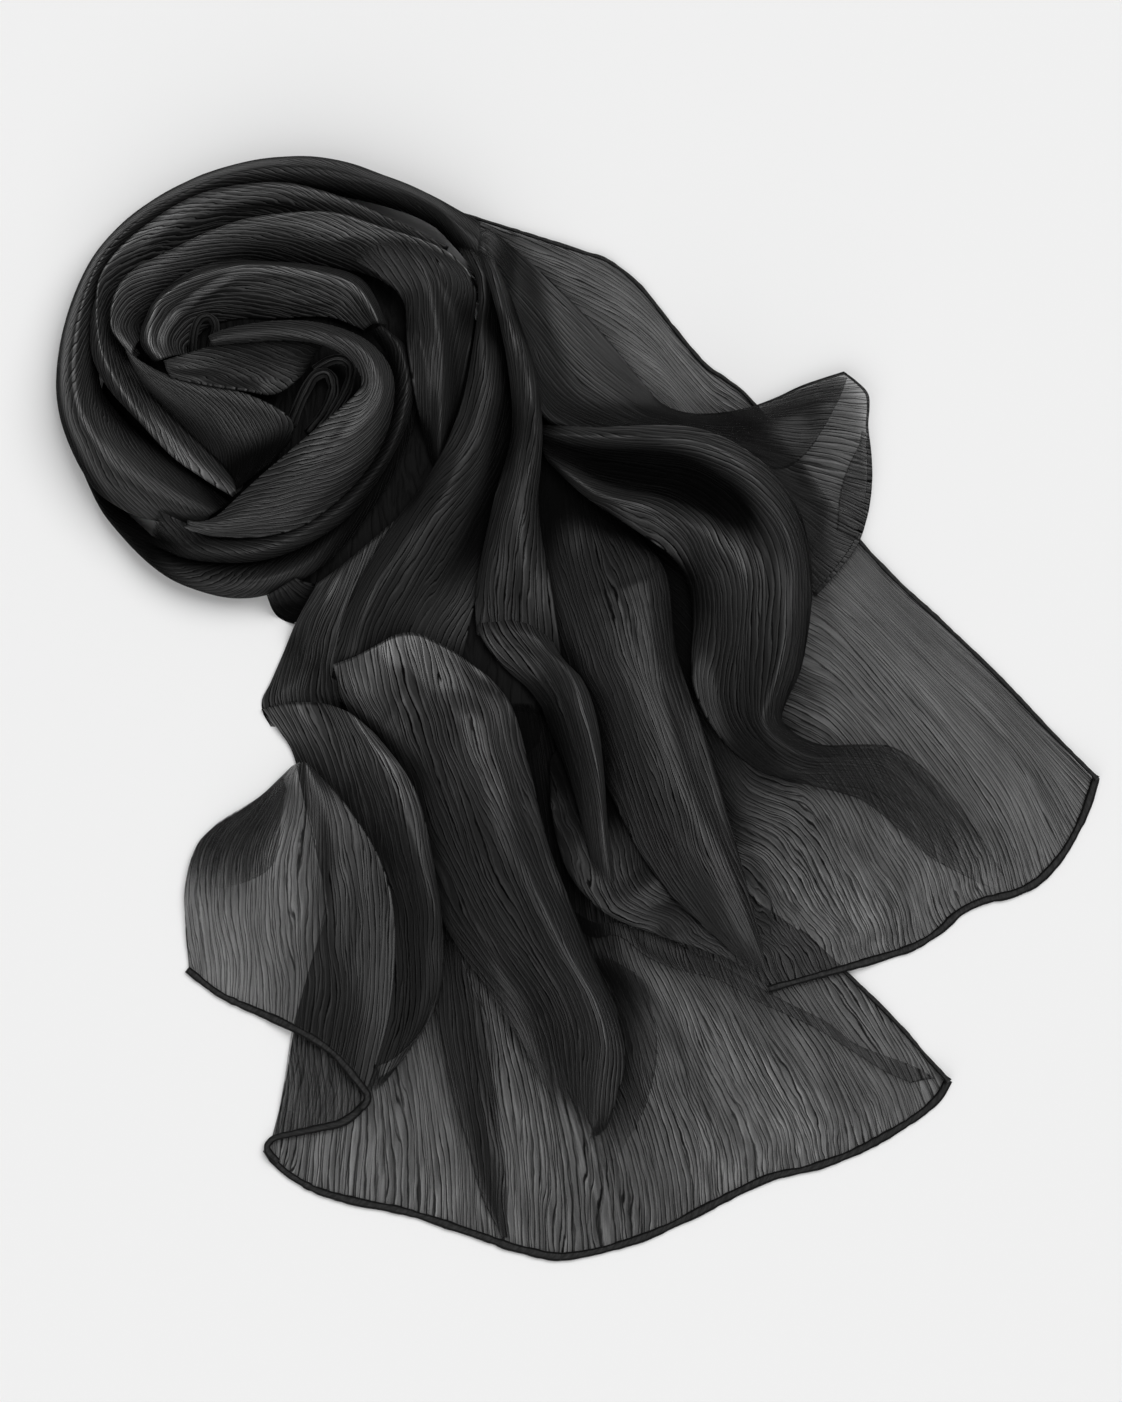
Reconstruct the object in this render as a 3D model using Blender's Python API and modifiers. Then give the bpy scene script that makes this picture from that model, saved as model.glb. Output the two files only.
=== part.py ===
# A black chiffon scarf lying on a table. Its middle is wound into a rosette and its two tails fan out over each
# other. Every stretch of cloth that shows is one sheet, lofted through its folds. All sizes are in millimetres
# until a mesh is made. A fold is drawn on a layout plane that faces a viewer standing in front of the table: its
# points are (right, down, rise), the first two from the plane's upper left corner and the last from what the cloth
# lies on.
import math

import bmesh
import bpy
import numpy as np
from mathutils import Matrix, Vector
from mathutils.bvhtree import BVHTree

OBJECT_NAME = "chiffon_scarf"
WALL = 1.0
LAYER_GAP = 0.45
SEAM_GAP = 0.3
END_HEM = 3.2
SIDE_HEM = 2.0
MM = 0.001

VIEW_HEIGHT = math.radians(75)
VIEWER_AWAY = 3000
LAYOUT_MIDDLE = (287.366, 350.611)

# The pile is a field of heights in square cells. New cloth is raised clear of it in a few turns.
PILE_CELL = 2.0
PILE_REACH = 340
PILE_SAMPLES = 14
SPREAD_CELLS = 2
SMOOTH_TURNS = 3
LAYING_TURNS = 6
SETTLE_TURNS = 8
SETTLE_SAMPLES = 5
DROP_SAMPLES = 4

# A sheet's rise is counted from the table, from the smoothed pile below it, or, held up by its folds, from the
# table again.
FLOOR, LAID, HELD = "floor", "laid", "held"

# Colour, roughness.
FINISHES = {
    "chiffon": ((0.012, 0.012, 0.012, 1), 0.55),
    "rolled_hem": ((0.009, 0.009, 0.009, 1), 0.6),
    "inner_layers": ((0.006, 0.006, 0.006, 1), 0.8),
}

CORE_MIDDLE = (165, 215)
CORE_HEIGHT = 13
CORE_FULLNESS = 0.35
CORE_SEGMENTS = 24
CORE_RINGS = 10
# Direction in degrees clockwise from the right, reach from the middle.
CORE_REACH = (
    (0, 102), (30, 122), (45, 150), (57, 195), (68, 205), (78, 175), (90, 122), (105, 82), (120, 66),
    (150, 96), (180, 116), (210, 121), (240, 116), (270, 110), (300, 104), (330, 90),
)

# Each fold: name, then (right, down, rise) at its stations from the heap to the loose end.
TAIL_B_FAN = (
    ("left turn", (186, 395, 0), (170, 440, 0), (156, 480, 0), (147, 515, 0), (142, 545, 0),
     (136, 574, 0)),
    ("first flat", (197, 395, 0), (190, 440, 0), (183, 480, 0), (176, 520, 0), (172, 556, 0),
     (168, 595, 0)),
    ("second flat", (208, 395, 0), (208, 440, 0), (206, 482, 0), (205, 525, 2), (205, 566, 2),
     (205, 606, 0)),
    ("pleat foot", (217, 395, 0), (220, 445, 2), (222, 490, 3), (227, 535, 3), (236, 580, 2),
     (247, 620, 0)),
    ("pleat ridge", (224, 372, 0), (235, 450, 4), (243, 495, 6), (249, 540, 6), (251, 585, 4),
     (256, 623, 0)),
    ("light trough", (234, 364, 0), (248, 455, 2), (262, 500, 0), (270, 545, 0), (276, 590, 0),
     (281, 628, 0)),
    ("under panel", (245, 358, 0), (265, 460, 2), (280, 505, 2), (290, 550, 0), (300, 590, 0),
     (310, 622, 0)),
    ("low ridge", (255, 356, 0), (285, 462, 4), (307, 505, 6), (320, 545, 5), (327, 583, 3),
     (332, 614, 0)),
    ("right trough", (265, 356, 0), (297, 464, 4), (325, 508, 2), (343, 545, 0), (355, 575, 0),
     (362, 599, 0)),
    ("hem step", (275, 358, 0), (304, 462, 4), (335, 505, 4), (360, 540, 3), (376, 568, 2),
     (386, 588, 0)),
    ("far trough", (285, 362, 0), (311, 460, 4), (347, 500, 2), (382, 535, 0), (405, 562, 0),
     (420, 579, 0)),
    ("double band", (299, 372, 0), (320, 458, 4), (357, 482, 5), (402, 513, 5), (436, 539, 4),
     (461, 556, 0)),
    ("side edge", (328, 396, 0), (355, 444, 2), (390, 470, 3), (424, 488, 2), (449, 513, 0),
     (473, 541, 0)),
)
TAIL_B_TURN = (
    ("left turn", (166, 440, 1), (157, 480, 1), (147, 513, 1), (143, 538, 1.5), (138, 568, 1.5)),
    ("light fold", (174, 440, 1), (167, 480, 1), (160, 515, 2), (158, 540, 3), (156, 564, 2)),
    ("near turn", (184, 440, 1), (179, 480, 1), (174, 515, 2), (172, 540, 3), (172, 560, 2)),
    ("right turn", (194, 440, 1), (191, 480, 1), (188, 512, 2), (185, 534, 2), (181, 552, 2)),
)
TAIL_B_SIDE = (
    ("left edge", (131, 354, 1), (146, 374, 4), (152, 398, 2), (160, 432, 2), (168, 467, 2),
     (174, 505, 2), (177, 541, 2)),
    ("left fall", (144, 351, 2.5), (159, 374, 9), (166, 399, 5), (176, 433, 4), (182, 468, 3),
     (183, 506, 3), (180, 543.5, 2)),
    ("crown", (160, 351, 3), (174, 375, 13), (184, 399, 10), (194, 433, 7), (199, 468, 6),
     (196, 507, 5), (183.5, 545.5, 2)),
    ("pouch", (175, 356, 2.5), (187, 376, 12), (199, 399, 13), (208, 431, 11), (213, 466, 9),
     (208, 507, 6), (187, 545.5, 2)),
    ("right edge", (188, 367, 1.5), (199, 381, 5), (209, 399, 5), (216, 429, 5), (221, 468, 4),
     (217, 504, 3), (191, 542.5, 2)),
)
TAIL_B_FLAP = (
    ("left edge", (146, 383, 2), (128, 400, 3), (102, 418, 3), (93, 441, 4), (93, 463, 3),
     (95, 485, 1.5)),
    ("left fall", (148, 382, 6), (135, 402, 10), (117, 423, 13), (109, 446, 13), (109, 470, 9),
     (111, 497, 2)),
    ("neck", (150, 381, 8), (143, 404, 13), (135, 430, 15), (130, 456, 13), (130, 480, 8),
     (131, 506, 2)),
    ("middle", (152, 381, 8), (152, 405, 13), (152, 432, 13), (152, 460, 11), (152, 487, 8),
     (152, 516, 2)),
    ("right fall", (154, 382, 7), (162, 405, 11), (169, 434, 11), (172, 465, 9), (172, 495, 7),
     (168, 527, 2)),
    ("right edge", (157, 385, 3), (173, 403, 4), (190, 431, 4), (197, 463, 4), (194, 508, 3),
     (183, 545, 1.5)),
)
TAIL_A_FAN = (
    ("rolled edge", (275, 380, 2), (276, 407, 3), (284, 436, 4), (302, 456, 4), (325, 466, 4),
     (348, 474, 4), (367, 481, 3), (385, 494, 0)),
    ("low ridge", (288, 352, 2), (318, 380, 2), (335, 402, 2), (352, 422, 2), (370, 440, 2),
     (390, 458, 2), (407, 471, 2), (425, 483, 0)),
    ("fan foot", (284, 316, 2), (328, 345, 2), (348, 370, 2), (370, 395, 2), (393, 420, 2),
     (418, 445, 0), (440, 462, 0), (461, 471, 0)),
    ("fan middle", (277, 272, 2), (330, 300, 2), (355, 330, 2), (380, 360, 2), (408, 390, 3),
     (437, 420, 3), (462, 440, 2), (484, 453, 0)),
    ("long trough", (260, 227, 2), (325, 255, 2), (355, 290, 2), (385, 325, 2), (420, 360, 2),
     (458, 398, 2), (488, 426, 0), (513, 444, 0)),
    ("long ridge", (250, 184, 2), (315, 215, 2), (350, 245, 2), (385, 280, 3), (420, 315, 4),
     (465, 360, 4), (501, 398, 3), (530, 428, 0)),
    ("side trough", (240, 140, 2), (297, 165, 2), (330, 195, 2), (365, 232, 2), (404, 275, 2),
     (457, 325, 2), (505, 370, 0), (541, 408, 0)),
    ("side edge", (233, 108, 3), (280, 123, 3), (313, 137, 2), (350, 181, 0), (377, 203, 0),
     (431, 273, 2), (490, 330, 0), (547, 390, 0)),
)
TAIL_A_TURN = (
    ("turned edge", (245, 115, 2), (270, 136, 2), (300, 166, 2), (320, 190, 2), (333, 203, 2),
     (352, 207, 3), (378, 203, 5), (401, 193, 7), (422, 186, 7)),
    ("near edge", (243, 122, 5), (267, 147, 4), (294, 178, 4), (319, 204, 4), (340, 212, 5),
     (363, 213, 6), (390, 209, 9), (412, 202, 12), (434, 197, 9)),
    ("long fall", (243, 132, 7), (264, 158, 5), (284, 191, 5), (308, 210, 8), (336, 214, 10),
     (366, 219, 10), (394, 221, 9), (415, 216, 10), (434, 213, 6)),
    ("lip back", (247, 142, 6), (263, 170, 5), (275, 200, 7), (300, 212, 12), (339, 216, 14),
     (372, 228, 12), (399, 240, 8), (417, 240, 7), (436, 240, 4)),
    ("lip", (251, 152, 4), (264, 181, 6), (271, 207, 8), (298, 216, 12), (340, 220, 14), (378, 237, 11),
     (402, 260, 6), (415, 264, 5), (429, 272, 2)),
    ("ear foot", (253, 159, 3), (264, 188, 4), (274, 211, 4), (298, 223, 6), (340, 229, 7),
     (377, 246, 6), (397, 272, 4), (403, 287, 3), (408, 298, 2)),
)
TAIL_A_MIDDLE = (
    ("left edge", (268, 223, 2), (259, 258, 3), (266, 314, 4), (288, 354, 3), (305, 395, 3),
     (330, 440, 2), (375, 484, 1.5)),
    ("left fall", (275, 228, 6), (274, 263, 7), (286, 314, 13), (305, 348, 12), (322, 395, 9),
     (347, 440, 6), (379, 488, 1.5)),
    ("crown", (284, 231, 5), (292, 262, 6), (306, 300, 16), (318, 343, 14), (334, 393, 11),
     (358, 440, 7), (382, 490, 1.5)),
    ("right crown", (292, 236, 3), (306, 263, 4), (321, 291, 15), (329, 335, 13), (344, 388, 10),
     (366, 438, 7), (384, 492, 1.5)),
    ("right edge", (300, 243, 2), (318, 266, 3), (333, 287, 7), (338, 326, 5), (353, 370, 4),
     (372, 437, 3), (386, 494, 1.5)),
)
TAIL_A_FOLD = (
    ("outer edge", (270, 212, 6), (300, 213, 12), (345, 213, 16), (378, 228, 16), (400, 256, 8),
     (406, 295, 5), (400, 335, 5), (391, 359, 4), (412, 372, 4), (446, 373, 4), (476, 398, 3),
     (502, 437, 1.5)),
    ("lip crest", (270, 216, 10), (300, 219, 17), (343, 221, 20), (371, 237, 22), (391, 264, 18),
     (397, 298, 15), (391, 334, 14), (384, 361, 11), (407, 377, 10), (443, 379, 9), (472, 404, 7),
     (501, 438, 2)),
    ("hollow", (271, 221, 5), (300, 232, 4), (340, 240, 4), (362, 254, 13), (378, 275, 18),
     (385, 302, 16), (383, 332, 13), (379, 361, 11), (402, 382, 9), (441, 385, 9), (470, 410, 7),
     (500, 440, 2)),
    ("front crest", (272, 226, 8), (297, 244, 14), (326, 252, 17), (350, 265, 20), (362, 283, 18),
     (367, 304, 13), (367, 333, 8), (370, 359, 6), (394, 386, 5), (437, 392, 5), (468, 418, 4),
     (499, 442, 2)),
    ("inner edge", (274, 230, 4), (292, 247, 6), (315, 262, 7), (336, 277, 7), (345, 293, 5),
     (347, 314, 4), (347, 340, 3), (360, 367, 3), (385, 387, 2), (431, 399, 2), (465, 427, 2),
     (498, 444, 1.5)),
)
FOLD_ONE = (
    ("left edge", (239, 141, 5), (237, 170, 6), (230, 204, 7), (215, 236, 7), (192, 268, 7),
     (173, 305, 6), (166, 338, 2)),
    ("crest", (242, 140, 11), (242, 170, 14), (238, 205, 17), (225, 239, 18), (202, 273, 17),
     (183, 307, 13), (176, 342, 4)),
    ("shoulder", (246, 141, 11), (248, 172, 13), (246, 207, 14), (236, 243, 14), (214, 277, 13),
     (196, 308, 10), (191, 341, 4)),
    ("valley", (250, 144, 5), (254, 178, 5), (254, 212, 4), (245, 250, 4), (228, 283, 6), (212, 310, 7),
     (208, 338, 4)),
    ("smooth panel", (254, 150, 3), (260, 185, 3), (262, 220, 3), (251, 255, 3), (241, 285, 6),
     (234, 312, 6), (229, 336, 3)),
)
FOLD_TWO = (
    ("left edge", (247, 149, 4), (254, 182, 5), (256, 216, 6), (247, 250, 6), (239, 292, 5),
     (240, 328, 2)),
    ("left crest", (250, 147, 9), (258, 180, 12), (261, 214, 14), (253, 250, 14), (247, 293, 11),
     (251, 328, 4)),
    ("right crest", (253, 147, 9), (264, 182, 12), (267, 214, 14), (260, 251, 14), (257, 293, 11),
     (267, 329, 4)),
    ("right edge", (256, 149, 4), (268, 186, 5), (271, 217, 6), (264, 254, 6), (266, 293, 5),
     (280, 331, 2)),
)
FOLD_THREE = (
    ("left edge", (240, 316, 1), (251, 332, 2), (267, 347, 3), (276, 366, 3), (287, 396, 2),
     (297, 436, 1)),
    ("left crest", (254, 316, 3), (269, 331, 8), (282, 352, 11), (290, 375, 9), (296, 404, 7),
     (301, 440, 2)),
    ("right crest", (268, 318, 3), (283, 334, 9), (292, 357, 12), (298, 381, 10), (301, 408, 7),
     (305, 443, 2)),
    ("right edge", (279, 326, 1), (292, 341, 3), (299, 363, 4), (302, 388, 3), (304, 415, 2),
     (308, 446, 1)),
)
FRONT_PANEL = (
    ("left edge", (167, 332, 1), (173, 352, 2), (186, 379, 2), (201, 420, 2), (224, 465, 2),
     (254, 510, 2), (279, 555, 1.5)),
    ("left fall", (180, 327, 2), (189, 351, 8), (206, 381, 9), (222, 421, 9), (247, 466, 8),
     (272, 510, 6), (287, 560, 2)),
    ("crown", (203, 316, 3), (212, 349, 11), (228, 383, 13), (241, 421, 14), (264, 466, 13),
     (288, 512, 9), (292, 565, 2)),
    ("right crown", (224, 324, 3), (233, 350, 11), (246, 385, 13), (257, 423, 15), (278, 467, 15),
     (301, 514, 11), (298, 568, 2)),
    ("right edge", (244, 338, 2), (256, 354, 3), (265, 386, 4), (274, 423, 4), (290, 464, 4),
     (312, 522, 3), (303, 564, 1.5)),
)
LEFT_PANEL = (
    ("left edge", (159, 291, 2), (149, 309, 3), (142, 326, 3), (136, 340, 3), (131, 352, 2),
     (136, 363, 1.5)),
    ("left fall", (170, 283, 4), (160, 303, 8), (153, 322, 9), (147, 338, 8), (143, 350, 4),
     (148, 364, 1.8)),
    ("crown", (182, 273, 5), (173, 297, 9), (168, 318, 10), (164, 335, 8), (162, 350, 4),
     (166, 364, 1.8)),
    ("right side", (197, 260, 4), (187, 285, 4), (180, 310, 4), (178, 330, 3), (180, 346, 2),
     (184, 358, 1.4)),
)
SMALL_CORNER = (
    ("hem edge", (134, 297, 1), (137, 305, 1), (141, 309, 1), (147, 311, 1)),
    ("hidden side", (145, 288, 1), (148, 292, 1), (151, 295, 1), (155, 297, 1)),
)
COIL_OUTER = (
    ("foot", (238, 118, 6), (203, 99, 1), (153, 84, 0.6), (98, 96, 0.6), (51, 134, 0.6), (32, 195, 0.6),
     (47, 240, 8), (73, 256, 23), (103, 259, 20)),
    ("side", (240, 111, 14), (205, 93, 15), (153, 78, 16), (95, 90, 16), (47, 128, 15), (28, 190, 14),
     (43, 238, 16), (70, 258, 25), (102, 262, 22)),
    ("rim", (240, 119, 24), (208, 97, 27), (151, 82, 30), (97, 93, 31), (50, 129, 31), (34, 188, 31),
     (49, 229, 30), (76, 249, 30), (105, 258, 26)),
    ("inner fall", (239, 127, 24), (211, 101, 27), (150, 87, 30), (100, 96, 29), (53, 131, 28),
     (40, 187, 30), (53, 219, 29), (81, 240, 29), (109, 255, 25)),
    ("groove", (238, 136, 17), (210, 109, 18), (149, 95, 20), (105, 103, 19), (60, 134, 19),
     (49, 184, 19), (60, 208, 19), (87, 230, 19), (114, 251, 18)),
)
COIL_SECOND = (
    ("back foot", (222, 127, 19), (201, 115, 21), (170, 101, 26), (137, 94, 29), (97, 102, 30),
     (57, 132, 31), (45, 161, 31), (52, 190, 30), (86, 225, 26), (117, 247, 22)),
    ("rim", (224, 122, 24), (202, 111, 27), (170, 97, 32), (137, 90, 35), (94, 98, 36), (54, 129, 37),
     (48, 160, 37), (55, 187, 36), (84, 225, 31), (116, 247, 25)),
    ("inner fall", (219, 126, 23), (198, 115, 26), (166, 101, 32), (134, 96, 34), (98, 107, 34),
     (58, 134, 33), (51, 160, 33), (59, 185, 33), (90, 220, 29), (120, 244, 23)),
    ("groove", (213, 132, 20), (193, 121, 23), (163, 111, 23), (131, 108, 23), (103, 118, 22),
     (66, 143, 20), (58, 161, 19), (67, 181, 20), (97, 213, 20), (122, 240, 18)),
)
COIL_THIRD = (
    ("back foot", (238, 143, 21), (222, 129, 24), (191, 119, 27), (161, 111, 29), (121, 117, 30),
     (90, 130, 29), (66, 143, 28), (60, 163, 27), (69, 176, 27)),
    ("rim", (238, 138, 30), (222, 123, 35), (191, 112, 39), (161, 104, 43), (120, 109, 44),
     (86, 123, 43), (61, 138, 41), (55, 161, 38), (66, 177, 35)),
    ("lip", (232, 137, 30), (216, 124, 35), (187, 114, 40), (159, 108, 43), (121, 113, 44),
     (88, 127, 43), (65, 141, 40), (58, 160, 37), (67, 172, 35)),
    ("inner fall", (222, 140, 25), (206, 130, 30), (184, 121, 34), (156, 118, 35), (123, 121, 35),
     (93, 134, 34), (73, 147, 32), (65, 160, 31), (70, 168, 30)),
    ("groove", (212, 148, 19), (200, 144, 19), (183, 135, 19), (155, 131, 19), (124, 131, 19),
     (98, 142, 19), (80, 154, 19), (72, 161, 20), (75, 166, 21)),
)
COIL_SIDE = (
    ("left edge", (200, 146, 24), (204, 170, 22), (208, 198, 20), (213, 220, 18), (218, 236, 16)),
    ("left crest", (207, 141, 29), (213, 168, 28), (217, 197, 26), (219, 220, 23), (219, 239, 17)),
    ("right crest", (214, 139, 29), (220, 166, 28), (222, 196, 25), (221, 219, 22), (220, 238, 16)),
    ("trough", (223, 138, 25), (226, 166, 21), (227, 195, 19), (224, 218, 17), (221, 237, 15)),
    ("right side", (237, 143, 24), (235, 168, 20), (230, 196, 18), (225, 218, 16), (222, 236, 14)),
)
MIDDLE_PANEL = (
    ("top edge", (62, 173, 37), (70, 180, 37), (87, 188, 36), (118, 195, 35), (143, 207, 34),
     (145, 219, 31), (137, 229, 27)),
    ("crest", (64, 178, 37), (72, 186, 37), (91, 194, 36), (117, 202, 35), (137, 211, 33),
     (140, 221, 30), (133, 233, 26)),
    ("fall", (67, 184, 35), (76, 194, 33), (95, 205, 30), (113, 212, 30), (128, 220, 29),
     (129, 229, 26), (126, 238, 23)),
    ("foot", (71, 191, 30), (81, 202, 26), (97, 218, 22), (109, 229, 21), (116, 237, 20),
     (118, 241, 20), (119, 245, 19)),
)
COIL_INNER = (
    ("outer foot", (193, 160, 24), (184, 141, 25), (170, 133, 26), (140, 129, 27), (108, 131, 28),
     (81, 145, 29), (72, 158, 31), (70, 170, 33), (77, 179, 33)),
    ("rim", (190, 160, 31), (180, 143, 35), (167, 136, 38), (140, 131, 40), (109, 132, 41),
     (82, 145, 41), (74, 158, 40), (73, 169, 39), (80, 178, 37)),
    ("inner fall", (186, 160, 29), (176, 148, 31), (163, 143, 33), (139, 139, 34), (113, 140, 34),
     (91, 149, 34), (84, 160, 33), (83, 169, 33), (86, 176, 33)),
    ("hollow", (182, 163, 24), (168, 157, 23), (155, 156, 22), (137, 157, 20), (120, 157, 18),
     (106, 160, 18), (98, 166, 19), (93, 171, 22), (93, 175, 25)),
)
UNDER_ROPE = (
    ("top", (82, 180, 37), (95, 176, 32), (113, 171, 31), (138, 169, 32), (162, 172, 31)),
    ("middle", (83, 184, 38), (97, 185, 33), (118, 184, 31), (141, 182, 31), (158, 176, 30)),
    ("bottom edge", (85, 188, 37), (99, 192, 32), (118, 195, 30), (138, 196, 29), (152, 186, 28)),
)
FRONT_COIL = (
    ("outer line", (192, 164, 24), (203, 174, 24), (207, 196, 23), (198, 225, 22), (173, 260, 20),
     (136, 279, 19), (97, 280, 18), (66, 264, 16), (50, 246, 14)),
    ("rim", (190, 163, 29), (200, 175, 30), (203, 197, 30), (194, 226, 29), (169, 255, 28),
     (134, 273, 27), (99, 275, 25), (69, 261, 20), (52, 244, 16)),
    ("inner line", (185, 166, 24), (194, 179, 24), (196, 198, 23), (185, 223, 22), (161, 247, 21),
     (132, 265, 20), (101, 268, 19), (74, 255, 17), (57, 241, 14.5)),
)
LOWEST_COIL = (
    ("foot", (208, 187, 15), (206, 212, 14.5), (195, 239, 14.5), (171, 270, 14.5), (148, 288, 14.5),
     (120, 297, 0.6), (87, 288, 0.6), (64, 268, 0.6), (52, 252, 0.6), (42, 232, 1.4)),
    ("outer side", (209, 185, 18), (207, 210, 17), (197, 237, 16.5), (174, 270, 16), (150, 290, 15),
     (120, 299, 12), (85, 289, 11), (60, 267, 9), (48, 250, 7), (39, 230, 5)),
    ("crest", (206, 184, 21), (204, 209, 21), (193, 236, 21), (170, 265, 21), (148, 284, 20),
     (119, 291, 20), (87, 284, 18), (63, 265, 15), (49, 248, 11), (42, 229, 8)),
    ("inner line", (202, 184, 18), (198, 208, 16), (186, 233, 15.5), (163, 258, 15), (143, 275, 15),
     (118, 281, 14.5), (90, 277, 14), (68, 261, 12), (54, 245, 10), (47, 228, 8)),
)
FRONT_LIP = (
    ("rope start", (104, 168, 33), (118, 163, 36), (150, 160, 37), (178, 167, 36), (193, 180, 34),
     (197, 197, 32), (190, 224, 30), (170, 249, 28), (143, 266, 27), (106, 268, 26), (93, 265, 25)),
    ("rope crest", (105, 170, 35), (119, 166, 38), (150, 164, 40), (176, 171, 40), (189, 184, 39),
     (191, 201, 38), (182, 224, 36), (163, 244, 34), (140, 258, 32), (110, 264, 29), (94, 264, 26)),
    ("inner face", (106, 172, 33), (120, 169, 36), (150, 168, 38), (173, 175, 39), (184, 188, 40),
     (183, 203, 41), (172, 219, 41), (151, 234, 40), (130, 250, 36), (109, 261, 31), (94, 263, 26)),
    ("inner rim", (107, 173, 30), (120, 171, 33), (150, 170, 35), (172, 177, 37), (181, 189, 39),
     (178, 197, 41), (167, 207, 42), (148, 223, 41), (128, 240, 36), (107, 259, 30), (94, 262, 25)),
)
# Name, width, (right, down, height) at its stations.
LOOPS = (
    ("inner_loop", 2.8, ((95, 174, 25), (96, 162, 31), (99, 155, 33), (104, 154, 33), (107, 159, 31),
     (105, 168, 27), (102, 176, 26))),
    ("front_loop", 3.2, ((147, 206, 22), (154, 192, 27), (159, 186, 28), (164, 187, 28), (165, 193, 26),
     (153, 211, 21))),
    ("back_loop", 3.2, ((163, 180, 26), (168, 178, 28), (173, 180, 28), (174, 187, 27), (169, 200, 24),
     (159, 214, 21))),
)
LOOP_POINTS = 9
LOOP_RESOLUTION = 2
HEM_RESOLUTION = 1

# Name, folds, how it lies, cells across, cells along.
SHEETS_UNDER = (
    ("tail_b_fan", TAIL_B_FAN, FLOOR, 22, 12),
    ("tail_a_fan", TAIL_A_FAN, FLOOR, 15, 16),
)
COILS = (
    ("lowest_coil", LOWEST_COIL, HELD, 6, 17),
    ("coil_outer", COIL_OUTER, HELD, 8, 18),
    ("coil_second", COIL_SECOND, HELD, 6, 19),
    ("front_coil", FRONT_COIL, HELD, 4, 16),
    ("coil_third", COIL_THIRD, HELD, 7, 18),
    ("coil_side", COIL_SIDE, HELD, 6, 7),
    ("middle_panel", MIDDLE_PANEL, HELD, 6, 10),
    ("coil_inner", COIL_INNER, HELD, 6, 15),
    ("under_rope", UNDER_ROPE, HELD, 4, 7),
    ("front_lip", FRONT_LIP, HELD, 6, 18),
)
SHEETS_OVER = (
    ("tail_a_turn", TAIL_A_TURN, LAID, 10, 15),
    ("tail_a_middle", TAIL_A_MIDDLE, LAID, 8, 14),
    ("tail_a_fold", TAIL_A_FOLD, LAID, 9, 22),
    ("small_corner", SMALL_CORNER, LAID, 2, 4),
    ("left_panel", LEFT_PANEL, LAID, 6, 8),
    ("fold_one", FOLD_ONE, LAID, 8, 14),
    ("fold_two", FOLD_TWO, LAID, 6, 12),
    ("fold_three", FOLD_THREE, LAID, 6, 11),
    ("tail_b_turn", TAIL_B_TURN, LAID, 5, 8),
    ("front_panel", FRONT_PANEL, LAID, 9, 14),
    ("tail_b_side", TAIL_B_SIDE, LAID, 8, 13),
    ("tail_b_flap", TAIL_B_FLAP, LAID, 10, 12),
)
# Sheet, side of it (its "loose" end, its "first" or its "last" fold), width, and the two shares of that side that
# the hem spans.
HEMS = (
    ("tail_b_fan", "loose", END_HEM, 0, 1),
    ("tail_b_fan", "last", SIDE_HEM, 0.45, 1),
    ("tail_a_fan", "loose", END_HEM, 0, 1),
    ("tail_a_fan", "last", SIDE_HEM, 0, 1),
    ("tail_b_turn", "loose", END_HEM, 0, 1),
    ("tail_b_flap", "loose", END_HEM, 0, 1),
)


def placed(points):
    """World millimetres of layout points (right, down, height)."""
    right, down, height = np.moveaxis(np.asarray(points, float), -1, 0)
    sin, cos = math.sin(VIEW_HEIGHT), math.cos(VIEW_HEIGHT)
    up = LAYOUT_MIDDLE[1] - down
    aim = np.stack([right - LAYOUT_MIDDLE[0], up * sin, up * cos], -1)
    eye = np.array([0, -VIEWER_AWAY * cos, VIEWER_AWAY * sin])
    share = (height - eye[2]) / (aim[..., 2] - eye[2])
    return eye + share[..., None] * (aim - eye)


def smooth_line(points, count):
    """Points at even steps of a smooth curve through the given ones, along their second to last axis."""
    points = np.asarray(points, float)
    before = 2 * points[..., :1, :] - points[..., 1:2, :]
    after = 2 * points[..., -1:, :] - points[..., -2:-1, :]
    line = np.concatenate([before, points, after], axis=-2)
    place = np.linspace(0, points.shape[-2] - 1, count)
    first = np.minimum(place.astype(int), points.shape[-2] - 2)
    step = (place - first)[:, None]
    a, b, c, d = (line[..., first + k, :] for k in range(4))
    bend = (2 * a - 5 * b + 4 * c - d) * step**2 + (3 * b - a - 3 * c + d) * step**3
    return b + 0.5 * ((c - a) * step + bend)


def loft(folds, across, along):
    """Grid of layout points of a sheet, its first axis across the folds and its second along them."""
    rows = smooth_line([fold[1:] for fold in folds], along + 1)
    return np.swapaxes(smooth_line(np.swapaxes(rows, 0, 1), across + 1), 0, 1)


def shifted(field, rows, columns):
    """The field moved by whole cells, its border repeated."""
    padded = np.pad(field, SPREAD_CELLS + 1, mode="edge")
    start = SPREAD_CELLS + 1
    height, width = field.shape
    return padded[start + rows : start + rows + height, start + columns : start + columns + width]


def spread(field, cells):
    span = range(-cells, cells + 1)
    return np.max([shifted(field, i, j) for i in span for j in span], axis=0)


def smoothed(field):
    for _ in range(SMOOTH_TURNS):
        field = np.mean([shifted(field, i, j) for i in (-1, 0, 1) for j in (-1, 0, 1)], axis=0)
    return field


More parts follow.
